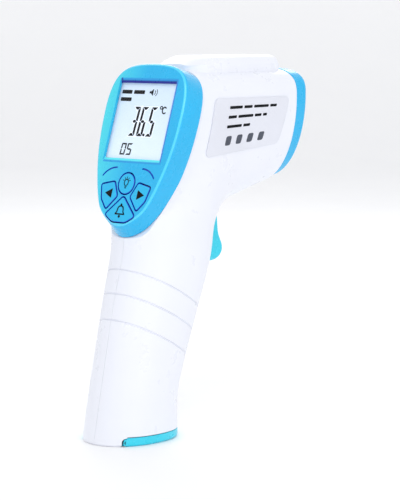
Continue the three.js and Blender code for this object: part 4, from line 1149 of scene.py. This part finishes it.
def battery_door():
    """Level sections of the grip's own surface, rounded at the foot, hollowed above."""
    angle = full_turn(240)
    rays = np.stack([np.cos(angle), np.sin(angle), np.zeros_like(angle)], -1)

    def section(z, offset):
        centre = np.array([-1.8, 0, z])
        near, far = np.zeros(len(angle)), np.full(len(angle), 30.0)
        reach = surface_at(lambda along: centre + rays * along[:, None], near, far, offset)
        return centre + rays * reach[:, None]

    heights = [0, 0.03, 0.1, 0.25, 0.45, 0.7, 1, FOOT_ROUND, 2.3, DOOR_TOP - 0.15]
    rows = [section(z, 0) for z in heights] + [section(DOOR_TOP, -0.15)]
    tray = paint(loft("door_tray", rows), CYAN)
    hx, hz = HINGE
    combine(tray, block("behind", (-40, -30, -5), (hx, 30, 20)))
    combine(tray, paint(loft("tray_hollow", [section(z, -1.8) for z in (2, 6)]), CYAN))
    barrel = paint(cylinder("barrel", (hx, -30, hz), (hx, 30, hz), hz - 0.01), CYAN)
    limit = loft("limit", [section(z, 0) for z in np.linspace(0, DOOR_TOP, 12)])
    combine(barrel, limit, how="INTERSECT")
    latch = paint(block("latch", (13.2, -4, 1.8), (14.2, 4, 6.6)), CYAN)
    catch = paint(cylinder("catch", (14.2, -4, 5.9), (14.2, 4, 5.9), 0.5), CYAN)
    combine(tray, barrel, latch, catch, how="UNION")
    for y0, y1 in ((-11, -9.3), (9.3, 11)):
        combine(tray, block("notch", (hx - 3, y0, -1), (hx + 1.7, y1, 8)))
    combine(tray, cylinder("pin_hole", (hx, -11.5, hz), (hx, 11.5, hz), 0.95))
    finish_piece(tray, "door", "blue_plastic", "battery_door", angle=30)


def on_side(points, lift):
    """Points of an X-Z outline carried onto the right side of the body, lifted off it a little."""
    x, z = np.asarray(points, float).T
    near, far = np.zeros_like(x), np.full_like(x, 30.0)
    reach = surface_at(lambda along: np.stack([x, -along, z], -1), near, far, lift)
    return np.stack([x, -reach, z], -1)


def film(name, outline, low, high, material, slot, *nodes, density=1.2):
    """A thin film following the right side of the body within an outline."""
    outline = np.asarray(outline, float)
    middle = outline.mean(axis=0)
    shares = np.linspace(1, 0.02, max(3, int(np.ptp(outline, axis=0).max() / density)))
    rows = [on_side(middle + (outline - middle) * s, high) for s in shares][::-1]
    rows += [on_side(middle + (outline - middle) * s, low) for s in shares]
    sheet = paint(loft(name, rows), material)
    return finish_piece(sheet, "housing", slot, *nodes, angle=40)


LABEL_CORNERS = np.array([(19.8, 108.5), (63.9, 112), (68.4, 130.9), (25.3, 131)])  # in X and Z
WORD_WIDTHS = (0.17, 0.11, 0.2, 0.09)


def side_label():
    """The label's film, three lines of plain bars for words and a row of blocks for symbols."""
    outline = arc_length(rounded(LABEL_CORNERS, 2.6, 10), 200)
    film("label_film", outline, 0.05, 0.42, LABEL, "label_film", "side_label")
    low_left, low_right, high_right, high_left = LABEL_CORNERS

    def spot(along, up):
        """A place on the label, from its own width and height, 0 to 1."""
        low = low_left + along * (low_right - low_left)
        high = high_left + along * (high_right - high_left)
        return low + up * (high - low)

    def patch(name, a0, a1, v0, v1, r, material):
        corners = [spot(a0, v0), spot(a1, v0), spot(a1, v1), spot(a0, v1)]
        patch_outline = arc_length(rounded(corners, r, 4), 40)
        film(name, patch_outline, 0.3, 0.455, material, "black_plastic", density=2.5)

    for i, (end, v) in enumerate(((0.88, 0.83), (0.72, 0.66), (0.55, 0.49))):
        cursor, piece = 0.2, 0
        while cursor < end:
            stop = min(cursor + WORD_WIDTHS[(piece + i) % 4], end)
            if stop - cursor > 0.03:
                patch(f"label_bar_{i + 1}_{piece + 1}", cursor, stop, v - 0.026, v + 0.026, 0.3, INK)
            cursor, piece = stop + 0.022, piece + 1
    for i, at in enumerate((0.22, 0.37, 0.52, 0.67)):
        patch(f"label_mark_{i + 1}", at, at + 0.075, 0.15, 0.32, 0.9, GREY_INK)


# ------------------------------------------------------------------ what the housing holds
def wire(name, points, r):
    """A round wire through points."""
    tangent = np.gradient(points, axis=0)
    tangent /= np.linalg.norm(tangent, axis=1, keepdims=True)
    angle = full_turn(12)
    normal = np.cross(tangent[0], (0.3, 0.5, 0.8))
    rows = []
    for point, along in zip(points, tangent):
        normal = normal - along * np.dot(normal, along)
        normal /= np.linalg.norm(normal)
        side = np.cross(along, normal)
        rows.append(point + r * (np.cos(angle)[:, None] * normal + np.sin(angle)[:, None] * side))
    return loft(name, rows)


def helix(turns, length, r, end_r):
    """Points of a coil standing on the X-Y plane, its end turns closed up."""
    t = np.linspace(0, 1, int(turns * 28))
    angle = 2 * math.pi * turns * t
    radius = r + (end_r - r) * t
    rise = length * smooth_step(t, 0, 1) * 0.6 + length * t * (1 - 0.6)
    return np.stack([radius * np.cos(angle), radius * np.sin(angle), rise], -1)


CELL_LEAN = math.atan(0.25)
CELL_PITCH = 7.45
CELL_FOOT = (-2.36, 8.7)
CELL_ENDS = 0.9 + 49.2  # from where one cell's foot stands to where a turned cell's does
CELL_PROFILE = [
    (0, 0.35), (4.6, 0.35), (4.7, 0.05), (5.3, 0), (6.9, 0.05), (7.2, 0.35), (7.25, 0.8), (7.25, 48.3),
    (7.1, 48.9), (6.6, 49.15), (5.6, 49.2), (5.2, 49.05), (2.9, 49.05), (2.75, 49.3), (2.75, 50.1),
    (2.5, 50.4), (0, 50.4),
]


def cell_place(points):
    """From the cells' leaning frame to the row frame."""
    points = np.asarray(points, float)
    c, s = math.cos(CELL_LEAN), math.sin(CELL_LEAN)
    x, y, z = points[..., 0], points[..., 1], points[..., 2]
    return np.stack([CELL_FOOT[0] + c * x + s * z, y, CELL_FOOT[1] - s * x + c * z], -1)


def cells():
    """Two cells, with sleeve, shrunk-over shoulders, insulating ring and button."""
    for name, x, up in (("battery_front", CELL_PITCH, True), ("battery_rear", -CELL_PITCH, False)):
        profile = [(r, h if up else CELL_ENDS - h) for r, h in CELL_PROFILE]
        rows = turned(profile, lambda a, b, h: cell_place(np.stack([x + a, b, h], -1)), 96)
        cell = paint(loft(name + "_cell", rows), WRAP, NICKEL)
        paint_rows(cell, 96, lambda row, corners: corners > 4 or row < 3 or row > 11)
        finish_piece(cell, "housing", "cell_wrap", name, angle=35)


def springs():
    """Coils in place of the square-wire CAD springs."""
    def coil(name, body, node, points, r):
        finish_piece(paint(wire(name, points, r), STEEL), body, "steel", node, angle=40)

    front = cell_place(helix(2.2, 2.2, 3.0, 2.5) + (CELL_PITCH, 0, -2.85))
    coil("front_bridge_coil", "door", "bridge_spring_front", front, 0.3)
    rear = cell_place(helix(3.5, 5.4, 3.0, 2.2) + (-CELL_PITCH, 0, -6.5))
    coil("rear_bridge_coil", "door", "bridge_spring_rear", rear, 0.3)
    points = helix(6, 13.2, 2.6, 2.6)
    lying = np.stack([points[:, 2] + 24.1, points[:, 1], 72.6 - points[:, 0]], -1)
    coil("return_coil", "housing", "trigger_spring", lying, 0.35)


def screws():
    """Pan heads with a cross recess, replacing the coarse CAD ones."""
    def screw(name, base, along, head_r, head_h, shank_r, length, node):
        along = np.array(along, float)
        turn = np.array(Vector(along).to_track_quat("Z", "Y").to_matrix())
        profile = [(0, -length), (shank_r * 0.35, -length + 0.1)]
        for i, h in enumerate(np.arange(-length + 1.6, -0.6, 0.35)):
            profile.append((shank_r if i % 2 else shank_r * 0.78, h))
        profile += [
            (shank_r, -0.3), (shank_r, 0), (head_r, 0), (head_r, head_h * 0.45),
            (head_r * 0.9, head_h * 0.8), (head_r * 0.6, head_h), (0, head_h),
        ]

        def place(a, b, h):
            return np.array(base) + np.stack([a, b, h], -1) @ turn.T

        body = paint(loft(name, turned(profile, place, 40)), STEEL)
        wide, thin = head_r * 0.62, head_r * 0.13
        for u, v in ((thin, wide), (wide, thin)):
            slot = np.array([(-u, -v), (u, -v), (u, v), (-u, v)])
            levels = ((0.75, head_h * 0.45), (1.06, head_h + 0.2))
            rows = [place(*(slot * share).T, np.full(4, h)) for share, h in levels]
            combine(body, loft("cross", rows))
        finish_piece(body, "housing", "steel", node, angle=30)

    for i, (x, z) in enumerate(SCREWS):
        screw(f"shell_screw_{i + 1}", (x, 8.3, z), (0, 1, 0), 2.6, 2, 1.2, 18, f"housing_screw_{i + 1}")
    inward = place_face(0, 0, -1) - place_face(0, 0, 0)
    for side, u in (("left", -13), ("right", 13)):
        base = place_face(u, -21.1, -10.5)
        screw(f"plate_screw_{side}", base, inward, 2.05, 1.5, 0.9, 5.8, f"board_screw_{side}")


def leftover_nodes():
    """CAD nodes whose own shape stays get their finish here."""
    looks = (
        (INNER, "lcd_frame contact_carrier"),
        (DIFFUSER, "backlight_panel"),
        (ZEBRA, "zebra_strip"),
        (BOARD, "main_board sensor_board trigger_board"),
        (SILICONE, "keypad_membrane switch_plunger"),
        (BLACK, "controller_chip buzzer trigger_switch battery_lead_black"),
        (BRASS, "sensor_heatsink"),
        (CABLE, "sensor_cable trigger_lead"),
        (STEEL, "trigger_pin door_hinge_pin"),
        (NICKEL, "positive_contact negative_contact bridge_plate"),
        (RED, "battery_lead_red"),
    )
    for material, names in looks:
        for name in names.split():
            for slot in CAD[name].material_slots:
                slot.material = material


housing()
display_bezel()
for key_name, key_outline in KEYS.items():
    keycap(key_name, key_outline)
key_prints()
read_out()
window_pane()
nose_ring()
sensor()
trigger()
battery_door()
side_label()
cells()
springs()
screws()
leftover_nodes()

# ------------------------------------------------------------------ stage and camera
AZIMUTH, ELEVATION = math.radians(-47), math.radians(6.3)
TARGET, DISTANCE, LENS = Vector((0.0378, 0, 0.07)), 0.7968, 144
LIT = Vector((0.03, 0, 0.08))


def added(name, data):
    obj = bpy.data.objects.new(name, data)
    bpy.context.scene.collection.objects.link(obj)
    return obj


def backdrop():
    """White paper that runs away from the camera and sweeps up, with a painted glow that grows brighter the
    higher it rises.
    """
    start, bend, width, height = 900, 1500, 4000, 4000
    profile = [(-2500, 0), (start, 0)]
    for a in np.radians(np.linspace(0, 90, 40))[1:]:
        profile.append((start + bend * math.sin(a), bend * (1 - math.cos(a))))
    profile.append((start + bend, height))
    away = np.array([-math.sin(AZIMUTH), math.cos(AZIMUTH), 0])
    across = np.array([away[1], -away[0], 0])
    rows = [[along * away + side * across + (0, 0, up) for side in (-width, width)] for along, up in profile]
    strip = np.arange(len(rows) * 2).reshape(-1, 2).tolist()
    faces = [(a, b, d, c) for (a, b), (c, d) in zip(strip, strip[1:])]
    floor = make_object("floor", np.reshape(rows, (-1, 3)), faces)
    paper = Look("paper")
    tone = paper.mix(paper.noise(40, 3), (0.9, 0.9, 0.91), (0.93, 0.93, 0.935))
    rise = paper.add("ShaderNodeSeparateXYZ", Vector=paper.where).outputs[2]
    paper.to(Base_Color=tone, Roughness=0.75)
    # Painted glow: the paper emits light, more the higher it lies, to brighten the backdrop.
    paper.to(Emission_Color=(1, 1, 1, 1), Emission_Strength=paper.span(rise, 0.06, 0.26, 0.0, 0.6))
    paper.bump(paper.noise(1.5, 3), 0.02)
    paint(floor, paper.material)


def soft_box(name, place, size, power):
    light = bpy.data.lights.new(name, "AREA")
    light.shape = "RECTANGLE"
    light.size, light.size_y = size
    light.energy = power
    obj = added(name, light)
    obj.location = place
    obj.rotation_euler = (LIT - Vector(place)).to_track_quat("-Z", "Y").to_euler()


def studio():
    soft_box("key", (-0.55, -0.45, 0.75), (0.5, 0.5), 2.0)
    soft_box("fill", (-0.1, -0.9, 0.3), (0.7, 0.6), 0.9)
    soft_box("strip", (-0.57, -0.61, 0.42), (0.06, 0.5), 0.3)
    soft_box("rim", (0.6, 0.5, 0.6), (0.5, 0.5), 1.6)
    world = bpy.data.worlds.new("studio")
    world.use_nodes = True
    sky = world.node_tree.nodes["Background"]
    sky.inputs["Color"].default_value = (0.97, 0.98, 1, 1)
    sky.inputs["Strength"].default_value = 0.8
    bpy.context.scene.world = world
    bpy.context.scene.view_settings.view_transform = "Standard"


def camera():
    data = bpy.data.cameras.new("camera")
    data.lens = LENS
    obj = added("camera", data)
    level = math.cos(ELEVATION)
    away = Vector((math.sin(AZIMUTH) * level, -math.cos(AZIMUTH) * level, math.sin(ELEVATION)))
    obj.location = TARGET + away * DISTANCE
    obj.rotation_euler = (-away).to_track_quat("-Z", "Y").to_euler()
    bpy.context.scene.camera = obj


backdrop()
studio()
camera()
